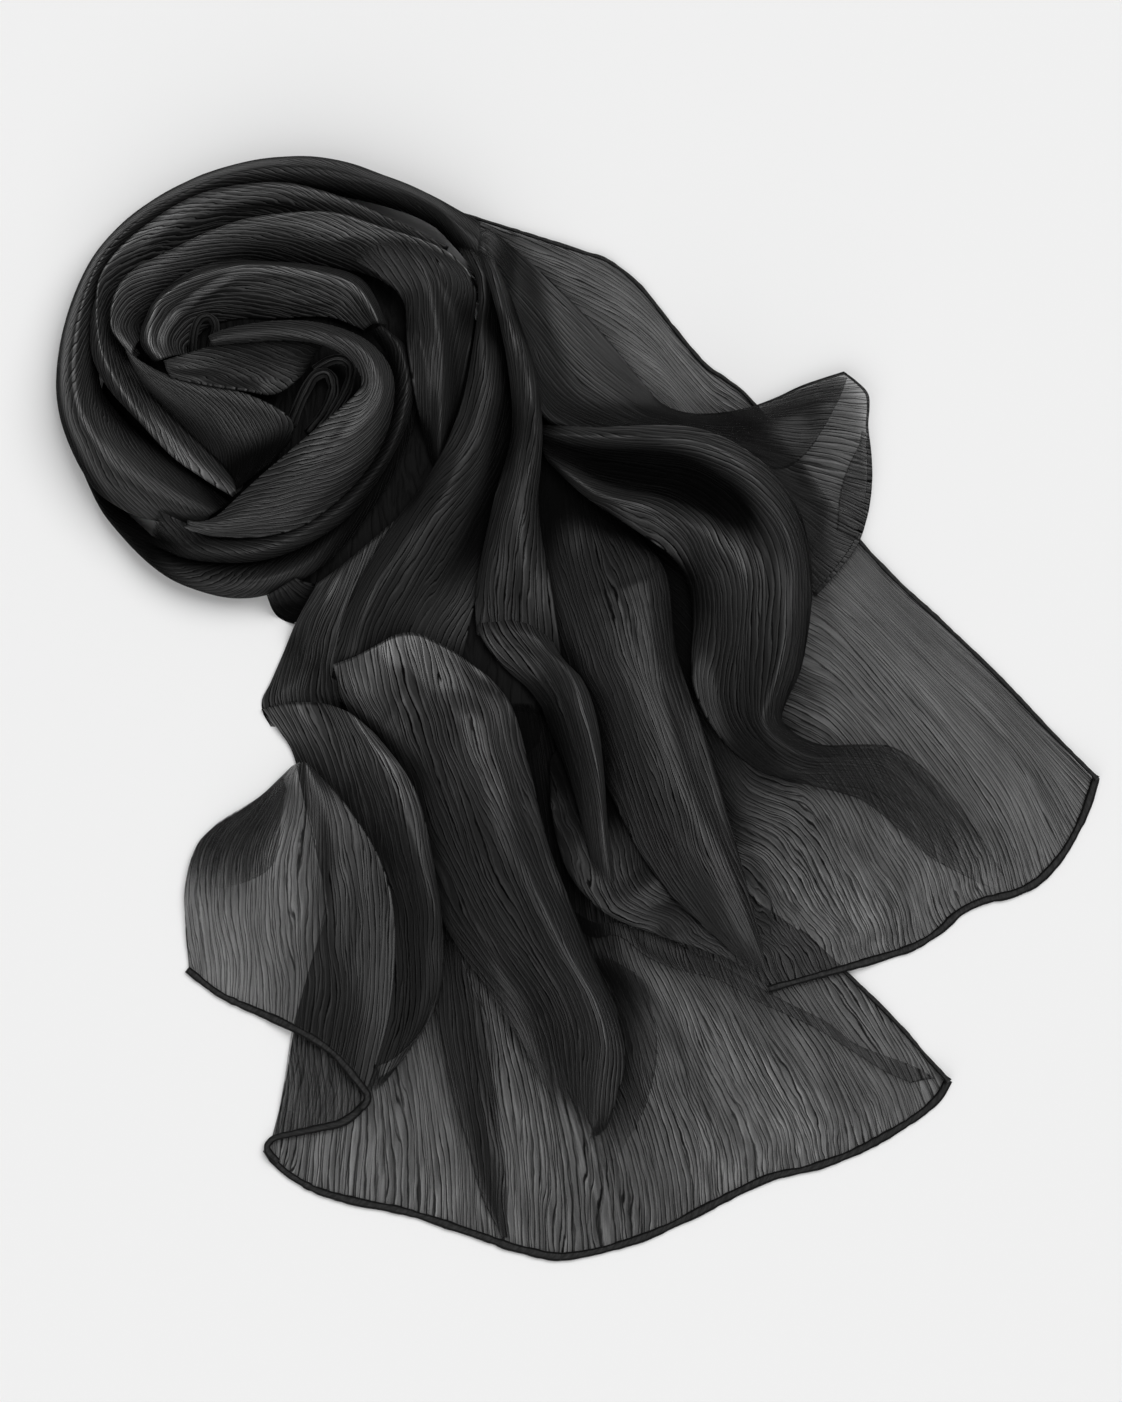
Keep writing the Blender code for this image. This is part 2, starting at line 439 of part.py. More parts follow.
class Pile:
    """What already lies on the table: its height in square cells, and its solids."""

    def __init__(self):
        side = 2 * int(PILE_REACH / PILE_CELL) + 1
        self.top = np.full((side, side), -LAYER_GAP)
        self.points = []
        self.faces = []

    def add_solid(self, obj):
        start = len(self.points)
        points, faces = solid_of(obj)
        self.points += points
        self.faces += [tuple(start + index for index in face) for face in faces]

    def cell(self, places):
        return (places + PILE_REACH) / PILE_CELL

    def add(self, grid, half_wall):
        """Raises the pile to the upper face of a grid of world points."""
        share = np.linspace(0, 1, PILE_SAMPLES)
        s, t = (side.ravel()[:, None, None, None] for side in np.meshgrid(share, share))
        low = grid[None, :-1, :-1] * (1 - s) * (1 - t) + grid[None, 1:, :-1] * s * (1 - t)
        points = (low + grid[None, :-1, 1:] * (1 - s) * t + grid[None, 1:, 1:] * s * t).reshape(-1, 3)
        cells = np.rint(self.cell(points[:, :2])).astype(int)
        np.maximum.at(self.top, (cells[:, 0], cells[:, 1]), points[:, 2] + half_wall)

    def height(self, field, places):
        """The field's value at world places, read between cell middles."""
        cells = np.clip(self.cell(places), 0, field.shape[0] - 1.001)
        low = cells.astype(int)
        step = cells - low
        i, j, s, t = low[..., 0], low[..., 1], step[..., 0], step[..., 1]
        near = field[i, j] * (1 - s) + field[i + 1, j] * s
        return near * (1 - t) + (field[i, j + 1] * (1 - s) + field[i + 1, j + 1] * s) * t


def settled(grid, pile, clearance):
    """The world grid raised where its cells would come nearer than the clearance to what lies below."""
    field = spread(pile.top, 1)
    share = np.linspace(0, 1, SETTLE_SAMPLES)
    for _ in range(SETTLE_TURNS):
        lift = np.zeros(grid.shape[:2])
        for s in share:
            for t in share:
                weights = ((1 - s) * (1 - t), s * (1 - t), (1 - s) * t, s * t)
                corners = (grid[:-1, :-1], grid[1:, :-1], grid[:-1, 1:], grid[1:, 1:])
                point = sum(weight * corner for weight, corner in zip(weights, corners))
                short = pile.height(field, point[..., :2]) + clearance - point[..., 2]
                short = np.maximum(short, 0) / sum(weight**2 for weight in weights)
                spots = (lift[:-1, :-1], lift[1:, :-1], lift[:-1, 1:], lift[1:, 1:])
                for weight, spot in zip(weights, spots):
                    np.maximum(spot, short * weight, out=spot)
        grid = grid + lift[..., None] * np.array([0, 0, 1.0])
    return grid


def laid(grid, pile, way):
    """World grid of a layout grid, lying on the pile in its own way and clear of it."""
    if way == HELD:
        world = placed(grid)
    else:
        below = smoothed(spread(pile.top, SPREAD_CELLS)) if way == LAID else pile.top
        height = grid[..., 2] + WALL / 2
        for _ in range(LAYING_TURNS):
            world = placed(np.concatenate([grid[..., :2], height[..., None]], -1))
            height = grid[..., 2] + WALL / 2 + pile.height(below, world[..., :2])
    return settled(world, pile, WALL / 2 + LAYER_GAP)


def solid_of(obj):
    """World points and triangles of an object with its modifiers."""
    shown = obj.evaluated_get(bpy.context.evaluated_depsgraph_get())
    mesh = shown.to_mesh()
    mesh.calc_loop_triangles()
    points = [vert.co.copy() for vert in mesh.vertices]
    faces = [tuple(face.vertices) for face in mesh.loop_triangles]
    shown.to_mesh_clear()
    return points, faces


def drop_of(obj, pile):
    """How far an object can sink, in millimetres, until it rests on the table or on a solid of the pile."""
    points, faces = solid_of(obj)
    below = BVHTree.FromPolygons(pile.points, pile.faces)
    above = BVHTree.FromPolygons(points, faces)
    steps = range(DROP_SAMPLES + 1)
    places = [(i, j, DROP_SAMPLES - i - j) for i in steps for j in steps if i + j <= DROP_SAMPLES]
    drops = [(point.z / MM) for point in points]
    for face in faces:
        a, b, c = (points[index] for index in face)
        for i, j, k in places:
            spot = (a * i + b * j + c * k) / DROP_SAMPLES
            distance = below.ray_cast(spot, Vector((0, 0, -1)))[3]
            if distance is not None:
                drops.append(distance / MM - LAYER_GAP)
    for point in pile.points:
        distance = above.ray_cast(point, Vector((0, 0, 1)))[3]
        if distance is not None:
            drops.append(distance / MM - LAYER_GAP)
    return max(min(drops), 0)


def seat(obj, pile):
    """Lowers an object onto the pile and adds it there. Returns the world step that it made."""
    step = np.array([0, 0, -drop_of(obj, pile)])
    obj.data.transform(Matrix.Translation(Vector(step) * MM))
    pile.add_solid(obj)
    return step


def cloth_material(name, finish):
    colour, roughness = FINISHES[finish]
    material = bpy.data.materials.new(f"{name}_{finish}")
    material.use_nodes = True
    shader = material.node_tree.nodes["Principled BSDF"]
    shader.inputs["Base Color"].default_value = colour
    shader.inputs["Roughness"].default_value = roughness
    shader.inputs["Metallic"].default_value = 0
    return material


def add_object(name, data, finish):
    obj = bpy.data.objects.new(name, data)
    data.materials.append(cloth_material(name, finish))
    bpy.data.collections[OBJECT_NAME].objects.link(obj)
    return obj


def add_sheet(name, grid):
    """A grid of cells with its points moved to the world grid, thickened to the wall."""
    across, along = grid.shape[0] - 1, grid.shape[1] - 1
    form = bmesh.new()
    bmesh.ops.create_grid(form, x_segments=across, y_segments=along, size=1)
    for vert in form.verts:
        row = round((vert.co.x + 1) / 2 * across)
        column = round((vert.co.y + 1) / 2 * along)
        vert.co = grid[row, column] * MM
    form.normal_update()
    if sum(face.normal.z for face in form.faces) < 0:
        bmesh.ops.reverse_faces(form, faces=form.faces)
    mesh = bpy.data.meshes.new(name)
    form.to_mesh(mesh)
    form.free()
    mesh.shade_smooth()
    obj = add_object(name, mesh, "chiffon")
    wall = obj.modifiers.new("wall", "SOLIDIFY")
    wall.thickness = WALL * MM
    wall.offset = 0
    return obj


def add_tube(name, line, width, resolution):
    """A rolled tube of cloth along a world line, its ends closed."""
    curve = bpy.data.curves.new(name, "CURVE")
    curve.dimensions = "3D"
    curve.bevel_depth = width / 2 * MM
    curve.bevel_resolution = resolution
    curve.use_fill_caps = True
    spline = curve.splines.new("POLY")
    spline.points.add(len(line) - 1)
    for point, place in zip(spline.points, line):
        point.co = (*(place * MM), 1)
    return add_object(name, curve, "rolled_hem")


def core_place(turn, share):
    """Where the core's upper face is, by direction in degrees and share of the reach that way."""
    angles = [direction for direction, _ in CORE_REACH] + [360]
    reaches = [reach for _, reach in CORE_REACH] + [CORE_REACH[0][1]]
    reach = np.interp(turn % 360, angles, reaches) * share
    middle = placed((*CORE_MIDDLE, 0))
    height = CORE_HEIGHT * np.maximum(1 - share**2, 0) ** CORE_FULLNESS
    across, ahead = np.cos(np.radians(turn)), -np.sin(np.radians(turn))
    return np.stack([middle[0] + reach * across, middle[1] + reach * ahead, height], -1)


def add_core():
    """The rounded solid that the hidden layers share: a ball squashed to the outline, its lower half flat."""
    form = bmesh.new()
    bmesh.ops.create_uvsphere(form, u_segments=CORE_SEGMENTS, v_segments=CORE_RINGS, radius=1)
    for vert in form.verts:
        turn = math.degrees(math.atan2(-vert.co.y, vert.co.x))
        place = core_place(turn, min(math.hypot(vert.co.x, vert.co.y), 1))
        vert.co = place * MM * (1, 1, vert.co.z > MM)
    mesh = bpy.data.meshes.new("heap_core")
    form.to_mesh(mesh)
    form.free()
    return add_object("heap_core", mesh, "inner_layers")


def border(grid, side, first, last):
    """World line along one side of a grid, and at each point the level step that moves its runs out by one."""
    edge, inner = {
        "loose": (grid[:, -1], grid[:, -2]),
        "first": (grid[0], grid[1]),
        "last": (grid[-1], grid[-2]),
    }[side]
    ends = slice(round(first * (len(edge) - 1)), round(last * (len(edge) - 1)) + 1)
    line, inside = edge[ends], inner[ends]
    runs = np.diff(line[:, :2], axis=0)
    out = np.stack([runs[:, 1], -runs[:, 0]], -1) / np.linalg.norm(runs, axis=1)[:, None]
    out *= np.sign(np.sum(out * (line - inside)[:-1, :2], axis=1))[:, None]
    before, after = np.vstack([out[:1], out]), np.vstack([out, out[-1:]])
    step = before + after
    return line, step / np.sum(step * after, axis=1)[:, None]


def hem_line(grid, side, width, first, last, pile):
    """Middle line of a hem tube just outside a sheet's border, clear of what lies below."""
    line, step = border(grid, side, first, last)
    line = line.copy()
    line[:, :2] += step * (width / 2 + SEAM_GAP)
    below = pile.height(spread(pile.top, SPREAD_CELLS), line[:, :2])
    line[:, 2] = np.maximum(line[:, 2], below + width / 2 + LAYER_GAP)
    return line


def clear_scene():
    for obj in list(bpy.data.objects):
        bpy.data.objects.remove(obj)


def core_surface():
    """World points all over the core's upper face."""
    turns = np.linspace(0, 360, 2 * CORE_SEGMENTS + 1)
    shares = np.linspace(0, 1, CORE_RINGS + 2)
    return core_place(*np.meshgrid(turns, shares, indexing="ij"))


def add_hems(name, grid, pile):
    """The hem tubes of one sheet. Returns a flat strip of world points and half a width for each."""
    strips = []
    for sheet, side, width, first, last in HEMS:
        if sheet == name:
            line = hem_line(grid, side, width, first, last, pile)
            pile.add_solid(add_tube(f"{name}_{side}_hem", line, width, HEM_RESOLUTION))
            half = np.array([width / 2, 0, 0])
            strips.append((np.stack([line - half, line + half]), width / 2))
    return strips


def build():
    """Lays the core, the sheets and their hems from the lowest to the highest."""
    collection = bpy.data.collections.new(OBJECT_NAME)
    bpy.context.scene.collection.children.link(collection)
    pile = Pile()
    pile.add_solid(add_core())
    pile.add(core_surface(), 0)
    for name, folds, way, across, along in SHEETS_UNDER + COILS + SHEETS_OVER:
        grid = laid(loft(folds, across, along), pile, way)
        grid = grid + seat(add_sheet(name, grid), pile)
        for strip, half in [*add_hems(name, grid, pile), (grid, WALL / 2)]:
            pile.add(strip, half)
    for name, width, stations in LOOPS:
        seat(add_tube(name, placed(smooth_line(stations, LOOP_POINTS)), width, LOOP_RESOLUTION), pile)


clear_scene()
build()
bpy.context.view_layer.update()
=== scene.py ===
import math

import bpy
import numpy as np
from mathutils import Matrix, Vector


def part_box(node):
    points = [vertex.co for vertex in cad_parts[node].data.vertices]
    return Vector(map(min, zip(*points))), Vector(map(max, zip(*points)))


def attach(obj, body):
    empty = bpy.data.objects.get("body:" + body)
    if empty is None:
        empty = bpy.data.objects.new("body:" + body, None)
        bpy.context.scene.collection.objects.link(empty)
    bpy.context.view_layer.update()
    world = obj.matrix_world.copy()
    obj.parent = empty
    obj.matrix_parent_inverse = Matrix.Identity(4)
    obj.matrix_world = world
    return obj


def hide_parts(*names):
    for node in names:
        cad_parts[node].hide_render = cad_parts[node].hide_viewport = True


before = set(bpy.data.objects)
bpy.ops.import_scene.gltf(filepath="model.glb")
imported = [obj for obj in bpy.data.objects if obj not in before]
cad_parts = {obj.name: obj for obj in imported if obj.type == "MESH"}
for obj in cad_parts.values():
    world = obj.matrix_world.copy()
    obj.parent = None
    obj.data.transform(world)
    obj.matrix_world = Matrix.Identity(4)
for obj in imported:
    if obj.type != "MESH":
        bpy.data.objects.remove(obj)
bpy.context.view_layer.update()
bpy.ops.object.select_all(action="DESELECT")
mm = 0.001

# A fold is drawn on a layout plane that faces the camera: (right, down, rise) in millimetres, the first two from the
# plane's upper left corner. The rise counts from the pile below, or from the table where a sheet is held.
layout = {
    "middle": (287.366, 350.611),
    "frameSize": (561, 701),
    "viewHeight": math.radians(75),
    "viewerAway": 3000,
}
build = {
    "wall": 1.0,            # the solids' wall, which fixes how high each layer lies
    "clothWall": 0.3,       # the cloth that is shown
    "layerGap": 0.45,       # between two layers
    "seamGap": 0.3,         # between a sheet and its hem
    "pileCell": 2.0,
    "pileReach": 340,       # how far the pile goes from the middle
    "cellAcross": 1.1,
    "cellAlong": 2.8,
    "mostCells": 48000,     # of one sheet
    "leastHeight": 0.2,     # of a turned side above the table
}
tiny = 1e-6


# curves and lofts
def placed(points):
    # world millimetres of layout points (right, down, height)
    right, down, height = np.moveaxis(np.asarray(points, float), -1, 0)
    sin, cos = math.sin(layout["viewHeight"]), math.cos(layout["viewHeight"])
    up = layout["middle"][1] - down
    aim = np.stack([right - layout["middle"][0], up * sin, up * cos], -1)
    eye = np.array([0, -layout["viewerAway"] * cos, layout["viewerAway"] * sin])
    share = (height - eye[2]) / (aim[..., 2] - eye[2])
    return eye + share[..., None] * (aim - eye)


def smoothLine(points, count):
    # points at even steps of a smooth curve through the given ones, along their second to last axis
    points = np.asarray(points, float)
    before = 2 * points[..., :1, :] - points[..., 1:2, :]
    after = 2 * points[..., -1:, :] - points[..., -2:-1, :]
    line = np.concatenate([before, points, after], axis=-2)
    place = np.linspace(0, points.shape[-2] - 1, count)
    first = np.minimum(place.astype(int), points.shape[-2] - 2)
    step = (place - first)[:, None]
    a, b, c, d = (line[..., first + k, :] for k in range(4))
    bend = (2 * a - 5 * b + 4 * c - d) * step**2 + (3 * b - a - 3 * c + d) * step**3
    return b + 0.5 * ((c - a) * step + bend)


def smoothGrid(rows, across, along):
    # the first axis goes across the folds, the second along them
    rows = smoothLine(rows, along + 1)
    return np.swapaxes(smoothLine(np.swapaxes(rows, 0, 1), across + 1), 0, 1)


# the pile, a field of heights that each new piece is laid on
def shifted(field, rows, columns, most=3):
    padded = np.pad(field, most, mode="edge")
    height, width = field.shape
    return padded[most + rows : most + rows + height, most + columns : most + columns + width]


def spread(field, cells):
    span = range(-cells, cells + 1)
    return np.max([shifted(field, i, j, cells) for i in span for j in span], axis=0)


def smoothed(field, turns=3):
    for _ in range(turns):
        field = np.mean([shifted(field, i, j) for i in (-1, 0, 1) for j in (-1, 0, 1)], axis=0)
    return field


def emptyPile(height):
    side = 2 * int(build["pileReach"] / build["pileCell"]) + 1
    return np.full((side, side), float(height))


def pileCells(places):
    return (places + build["pileReach"]) / build["pileCell"]


def addToPile(pile, grid, halfWall, samples=14):
    share = np.linspace(0, 1, samples)
    s, t = (side.ravel()[:, None, None, None] for side in np.meshgrid(share, share))
    low = grid[None, :-1, :-1] * (1 - s) * (1 - t) + grid[None, 1:, :-1] * s * (1 - t)
    points = (low + grid[None, :-1, 1:] * (1 - s) * t + grid[None, 1:, 1:] * s * t).reshape(-1, 3)
    cells = np.rint(pileCells(points[:, :2])).astype(int)
    np.maximum.at(pile, (cells[:, 0], cells[:, 1]), points[:, 2] + halfWall)


def between(grid, i, j):
    # a grid's value between its points, with the place counted in cells
    a, b = np.clip(i.astype(int), 0, grid.shape[0] - 2), np.clip(j.astype(int), 0, grid.shape[1] - 2)
    s, t = i - a, j - b
    if grid.ndim == 3:
        s, t = s[..., None], t[..., None]
    near = grid[a, b] * (1 - s) + grid[a + 1, b] * s
    return near * (1 - t) + (grid[a, b + 1] * (1 - s) + grid[a + 1, b + 1] * s) * t


def heightAt(field, places):
    cells = np.clip(pileCells(places), 0, field.shape[0] - 1.001)
    return between(field, cells[..., 0], cells[..., 1])


def settled(grid, pile, clearance, turns=8, samples=5):
    field = spread(pile, 1)
    share = np.linspace(0, 1, samples)
    for _ in range(turns):
        lift = np.zeros(grid.shape[:2])
        for s in share:
            for t in share:
                weights = ((1 - s) * (1 - t), s * (1 - t), (1 - s) * t, s * t)
                corners = (grid[:-1, :-1], grid[1:, :-1], grid[:-1, 1:], grid[1:, 1:])
                point = sum(weight * corner for weight, corner in zip(weights, corners))
                short = heightAt(field, point[..., :2]) + clearance - point[..., 2]
                short = np.maximum(short, 0) / sum(weight**2 for weight in weights)
                spots = (lift[:-1, :-1], lift[1:, :-1], lift[:-1, 1:], lift[1:, 1:])
                for weight, spot in zip(weights, spots):
                    np.maximum(spot, short * weight, out=spot)
        grid = grid + lift[..., None] * np.array([0, 0, 1.0])
    return grid


def laid(grid, pile, lies):
    half = build["wall"] / 2
    if lies == "held":
        world = placed(grid)
    else:
        below = smoothed(spread(pile, 2)) if lies == "laid" else pile
        height = grid[..., 2] + half
        for _ in range(6):
            world = placed(np.concatenate([grid[..., :2], height[..., None]], -1))
            height = grid[..., 2] + half + heightAt(below, world[..., :2])
    return settled(world, pile, half + build["layerGap"])


# materials
class Shade:
    # a socket of a material, so that its maths reads as maths
    def __init__(self, material, socket=None):
        self.material = material
        self.socket = socket

    def node(self, kind, settings=None, inputs=None, output=0):
        made = self.material.node_tree.nodes.new(kind)
        for key, value in (settings or {}).items():
            setattr(made, key, value)
        for key, value in (inputs or {}).items():
            self.feed(made.inputs[key], value)
        return Shade(self.material, made.outputs[output])

    def feed(self, socket, value):
        if isinstance(value, Shade):
            self.material.node_tree.links.new(value.socket, socket)
        else:
            socket.default_value = value

    def maths(self, operation, *values):
        return self.node("ShaderNodeMath", {"operation": operation}, dict(enumerate(values)))

    def __add__(self, other):
        return self.maths("ADD", self, other)

    def __sub__(self, other):
        return self.maths("SUBTRACT", self, other)

    def __rsub__(self, other):
        return self.maths("SUBTRACT", other, self)

    def __mul__(self, other):
        return self.maths("MULTIPLY", self, other)

    __radd__ = __add__
    __rmul__ = __mul__

    def step(self, low, high):
        # 0 below the low value, 1 above the high one
        return self.node("ShaderNodeMapRange", {"interpolation_type": "SMOOTHSTEP"},
                         {"Value": self, "From Min": low, "From Max": high})

    def attribute(self, name):
        return self.node("ShaderNodeAttribute", {"attribute_name": name}, output="Fac")

    def noise(self, place, scale, detail=2.0, stretch=(1, 1, 1)):
        # scale is in spots to a metre; a stretch under 1 draws the spots out
        turned = self.node("ShaderNodeMapping", inputs={"Vector": place, "Scale": stretch}, output="Vector")
        return self.node("ShaderNodeTexNoise", inputs={"Vector": turned, "Scale": scale, "Detail": detail})

    def mix(self, share, first, second):
        made = self.material.node_tree.nodes.new("ShaderNodeMix")
        made.data_type = "RGBA"
        self.feed(made.inputs["Factor"], share)
        self.feed(made.inputs[6], first)
        self.feed(made.inputs[7], second)
        return Shade(self.material, made.outputs[2])

    def bumps(self, shader, height):
        inputs = {"Height": height, "Strength": 1.0, "Distance": 1.0}
        self.feed(shader.inputs["Normal"], self.node("ShaderNodeBump", inputs=inputs, output="Normal"))


def newMaterial(name, settings):
    material = bpy.data.materials.new(name)
    material.use_nodes = True
    shader = material.node_tree.nodes["Principled BSDF"]
    for key, value in settings.items():
        shader.inputs[key].default_value = value
    return Shade(material), shader


def grey(tone):
    return (tone, tone, tone, 1)


chiffonLook = {
    "ridge": 0.0125,        # colour of the open cloth
    "valley": 0.0004,       # and in its fine dark lines, a painted shade of the creases
    "ridgeAndPaintedGlint": 0.042,         # and the painted highlight on the ridge beside a line
    "letsThrough": 0.32,    # light that one layer lets through
    "lineWidth": 0.135,     # share of a crinkle
    "wander": 0.6,          # how far a line strays, in crinkles
    "lineLayers": 1.5,      # layers that a line adds
    "shineLayers": 0.25,    # and that a ridge takes away
    "streakLayers": 0.45,   # and how far the grain between the lines changes them
    "rough": 0.46,
    "paintedSheen": (0.14, 1.0),   # coat between the ridges and on them, a painted sheen
    "lineDepth": 0.00026,   # of the narrow groove, in metres
    "facetDepth": 0.00014,  # of the slope towards it
    "grainDepth": 0.00003,
    # noise: its spots to a metre, its detail and how far they are drawn out
    "bends": (300, 3.0, (1, 0.25, 1)),
    "patches": (95, 2.0, (1, 0.22, 1)),
    "drift": (70, 2.0, (1, 0.25, 1)),
    "broad": (38, 3.0, (1, 0.3, 1)),
    "streaks": (520, 3.0, (1, 0.07, 1)),
    "grain": (2600, 2.0),
}


def crinkleLines(shade, place, phase):
    # how dark a line is, where the ridge beside it takes a painted highlight, and how far a point is from the line
    bent = shade.noise(place, *chiffonLook["bends"]) - 0.5
    side = shade.maths("FRACT", phase + bent * chiffonLook["wander"]) - 0.5
    away = shade.maths("ABSOLUTE", side)
    line = 1 - away.step(0.03, chiffonLook["lineWidth"])
    return line, side.step(0.05, 0.15) * (1 - side.step(0.17, 0.42)), away


def chiffonMaterial():
    look = chiffonLook
    fixed = {"Sheen Weight": 0.02, "Sheen Roughness": 0.35, "Specular IOR Level": 0.03, "Coat Roughness": 0.36}
    shade, shader = newMaterial("blackChiffon", fixed)
    place = shade.node("ShaderNodeUVMap", {"uv_map": "cloth"})
    strength, phase, hollow, paintedSheen = (shade.attribute(name) for name in ("strength", "crinkle", "hollow", "paintedSheen"))
    patches = shade.noise(place, *look["patches"])
    shown = 0.16 + strength * 0.6 + patches.step(0.36, 0.6) * 0.5   # strong lines come and go in patches
    line, ridgeAndPaintedGlint, away = crinkleLines(shade, place, phase)
    others = patches.step(0.66, 0.42) * 0.9     # and finer ones take their place
    thin, thinRidgeAndPaintedGlint, _ = crinkleLines(shade, place, phase * 1.37 + shade.noise(place, *look["drift"]) * 3.4)
    line = shade.maths("MINIMUM", shade.maths("MAXIMUM", line * shown, thin * others), 1.0)
    ridgeAndPaintedGlint = shade.maths("MAXIMUM", ridgeAndPaintedGlint * shown, thinRidgeAndPaintedGlint * others)
    broad = shade.noise(place, *look["broad"]).step(0.36, 0.68)
    streak = shade.noise(place, *look["streaks"]).step(0.3, 0.7)
    layers = shade.attribute("plies") * (0.92 + 0.2 * broad + look["streakLayers"] * (0.5 - streak)
                                         + line * look["lineLayers"] - ridgeAndPaintedGlint * look["shineLayers"])
    through = shade.maths("POWER", look["letsThrough"], layers * 0.5)
    shade.feed(shader.inputs["Alpha"], 1 - through)
    # painted shade: the fine lines and the hollows between folds darken the colour towards the valley's and take away
    # the coat; only the extra layers that a line adds above are the cloth's own
    creaseAndHollowShade = shade.maths("MAXIMUM", line, hollow)
    colour = shade.mix(creaseAndHollowShade, grey(look["ridge"]), grey(look["valley"]))
    # painted highlight: the colour is lighter on the ridge beside each line, scaled by the painted sheen and less in
    # the painted shade of hollows
    colour = shade.mix(ridgeAndPaintedGlint * 0.8 * paintedSheen * (1 - hollow), colour, grey(look["ridgeAndPaintedGlint"]))
    shade.feed(shader.inputs["Base Color"], colour)
    low, high = look["paintedSheen"]
    coat = low + (high - low) * (ridgeAndPaintedGlint * 0.5 + broad * 0.2 + streak * 0.3)
    # painted sheen: the coat follows the ridges and the painted sheen map, and fades in the painted shade of lines
    # and hollows
    shade.feed(shader.inputs["Coat Weight"], (1 - creaseAndHollowShade) * (1 - creaseAndHollowShade) * coat * paintedSheen)
    grain = shade.noise(place, *look["grain"])
    shade.feed(shader.inputs["Roughness"], look["rough"] + 0.14 * (grain - 0.5) + 0.3 * creaseAndHollowShade)
    facet = away * 2 * shown
    shade.bumps(shader, facet * look["facetDepth"] + grain * look["grainDepth"] - line * look["lineDepth"])
    return shade.material


def hemMaterial():
    shade, shader = newMaterial("rolledHem", {"Sheen Weight": 0.02, "Specular IOR Level": 0.15})
    place = shade.node("ShaderNodeUVMap", {"uv_map": "cloth"})
    lump = shade.noise(place, 700, 3.0, (1, 0.6, 1))
    stitch = shade.maths("ABSOLUTE", shade.maths("FRACT", shade.attribute("crinkle") + lump * 0.6) - 0.5)
    groove = shade.attribute("strength").step(0.42, 0.7)    # where the roll meets its sheet, painted there as a dark line of shade
    colour = shade.mix(lump.step(0.35, 0.7), grey(0.01), grey(0.026))
    # painted shade: the colour goes nearly black in the groove where the roll meets its sheet
    colour = shade.mix(groove, colour, grey(0.0005))
    shade.feed(shader.inputs["Base Color"], colour)
    shade.feed(shader.inputs["Roughness"], 0.5 + 0.2 * lump)
    shade.bumps(shader, stitch.step(0.1, 0.4) * 0.00012 + lump * 0.0003 - groove * 0.0002)
    return shade.material


def innerMaterial():
    shade, shader = newMaterial("innerLayers", {"Specular IOR Level": 0.06})
    place = shade.node("ShaderNodeTexCoord", output="Object")
    lines = shade.noise(place, 90, 3.0, (1, 0.25, 1))
    fold = shade.maths("ABSOLUTE", shade.maths("FRACT", lines * 6) - 0.5)
    shade.feed(shader.inputs["Base Color"], shade.mix(fold.step(0.1, 0.4), grey(0.0015), grey(0.004)))
    shade.feed(shader.inputs["Roughness"], 0.6 + 0.2 * fold)
    shade.bumps(shader, fold * 0.0006)
    return shade.material


def floorMaterial():
    shade, shader = newMaterial("paleTable", {"Base Color": grey(0.84), "Roughness": 0.9, "Specular IOR Level": 0.1})
    place = shade.node("ShaderNodeTexCoord", output="Object")
    shade.feed(shader.inputs["Roughness"], 0.85 + 0.1 * shade.noise(place, 40))
    return shade.material


chiffon, hemCloth, innerCloth = chiffonMaterial(), hemMaterial(), innerMaterial()
print("materials made")


# camera, light and table
def addCamera():
    # it stands where the layout is drawn from, and sees just the layout
    away, angle = layout["viewerAway"] * mm, layout["viewHeight"]
    width, height = layout["frameSize"]
    bpy.ops.object.camera_add(location=(0, -away * math.cos(angle), away * math.sin(angle)))
    made = bpy.context.active_object
    made.name = "viewCamera"
    made.rotation_euler = (-made.location).to_track_quat("-Z", "Y").to_euler()
    made.data.sensor_fit = "VERTICAL"
    made.data.sensor_width = made.data.sensor_height = 36
    made.data.lens = made.data.sensor_height * away / (height * mm)
    made.data.shift_x = (width / 2 - layout["middle"][0]) / height
    made.data.shift_y = (layout["middle"][1] - height / 2) / height
    bpy.context.scene.camera = made


studio = {
    "fill": 0.22,           # light from all round
    "table": 12,            # its side in metres
    # power, softness in degrees and the direction that the light comes from
    "suns": {"keyLight": (2.00, 52, (0.45, 0.30, 1.0)), "frontLight": (1.42, 66, (-0.20, -1.00, 0.72))},
}


def addStudio():
    world = bpy.data.worlds.new("studio")
    bpy.context.scene.world = world
    world.use_nodes = True
    back = world.node_tree.nodes["Background"]
    back.inputs["Color"].default_value = (1, 1, 1, 1)
    back.inputs["Strength"].default_value = studio["fill"]
    for name, (power, softness, comesFrom) in studio["suns"].items():
        bpy.ops.object.light_add(type="SUN", location=comesFrom)
        sun = bpy.context.active_object
        sun.name = name
        sun.rotation_euler = Vector(comesFrom).to_track_quat("Z", "Y").to_euler()
        sun.data.energy = power
        sun.data.angle = math.radians(softness)
    bpy.ops.mesh.primitive_plane_add(size=studio["table"], location=(0, 0, 0))
    table = bpy.context.active_object
    table.name = "paleTable"
    table.data.materials.append(floorMaterial())
    bpy.context.scene.view_settings.view_transform = "Standard"


addCamera()
addStudio()
print("camera and light set")


# wrinkles
tableSide = 128
noiseTable = np.random.default_rng(11).random((tableSide, tableSide))


def noiseAt(x, y, shift=0.0):
    # smooth noise from 0 to 1 that has one value to a unit
    x, y = np.broadcast_arrays(x + 17.3 * shift, y + 9.1 * shift)
    left, low = np.floor(x).astype(int), np.floor(y).astype(int)
    s, t = x - left, y - low
    s, t = s * s * (3 - 2 * s), t * t * (3 - 2 * t)
    a, b, c, d = (noiseTable[(left + i) % tableSide, (low + j) % tableSide] for j in (0, 1) for i in (0, 1))
    return (a * (1 - s) + b * s) * (1 - t) + (c * (1 - s) + d * s) * t


def stepUp(low, high, value):
    share = np.clip((value - low) / (high - low), 0, 1)
    return share * share * (3 - 2 * share)


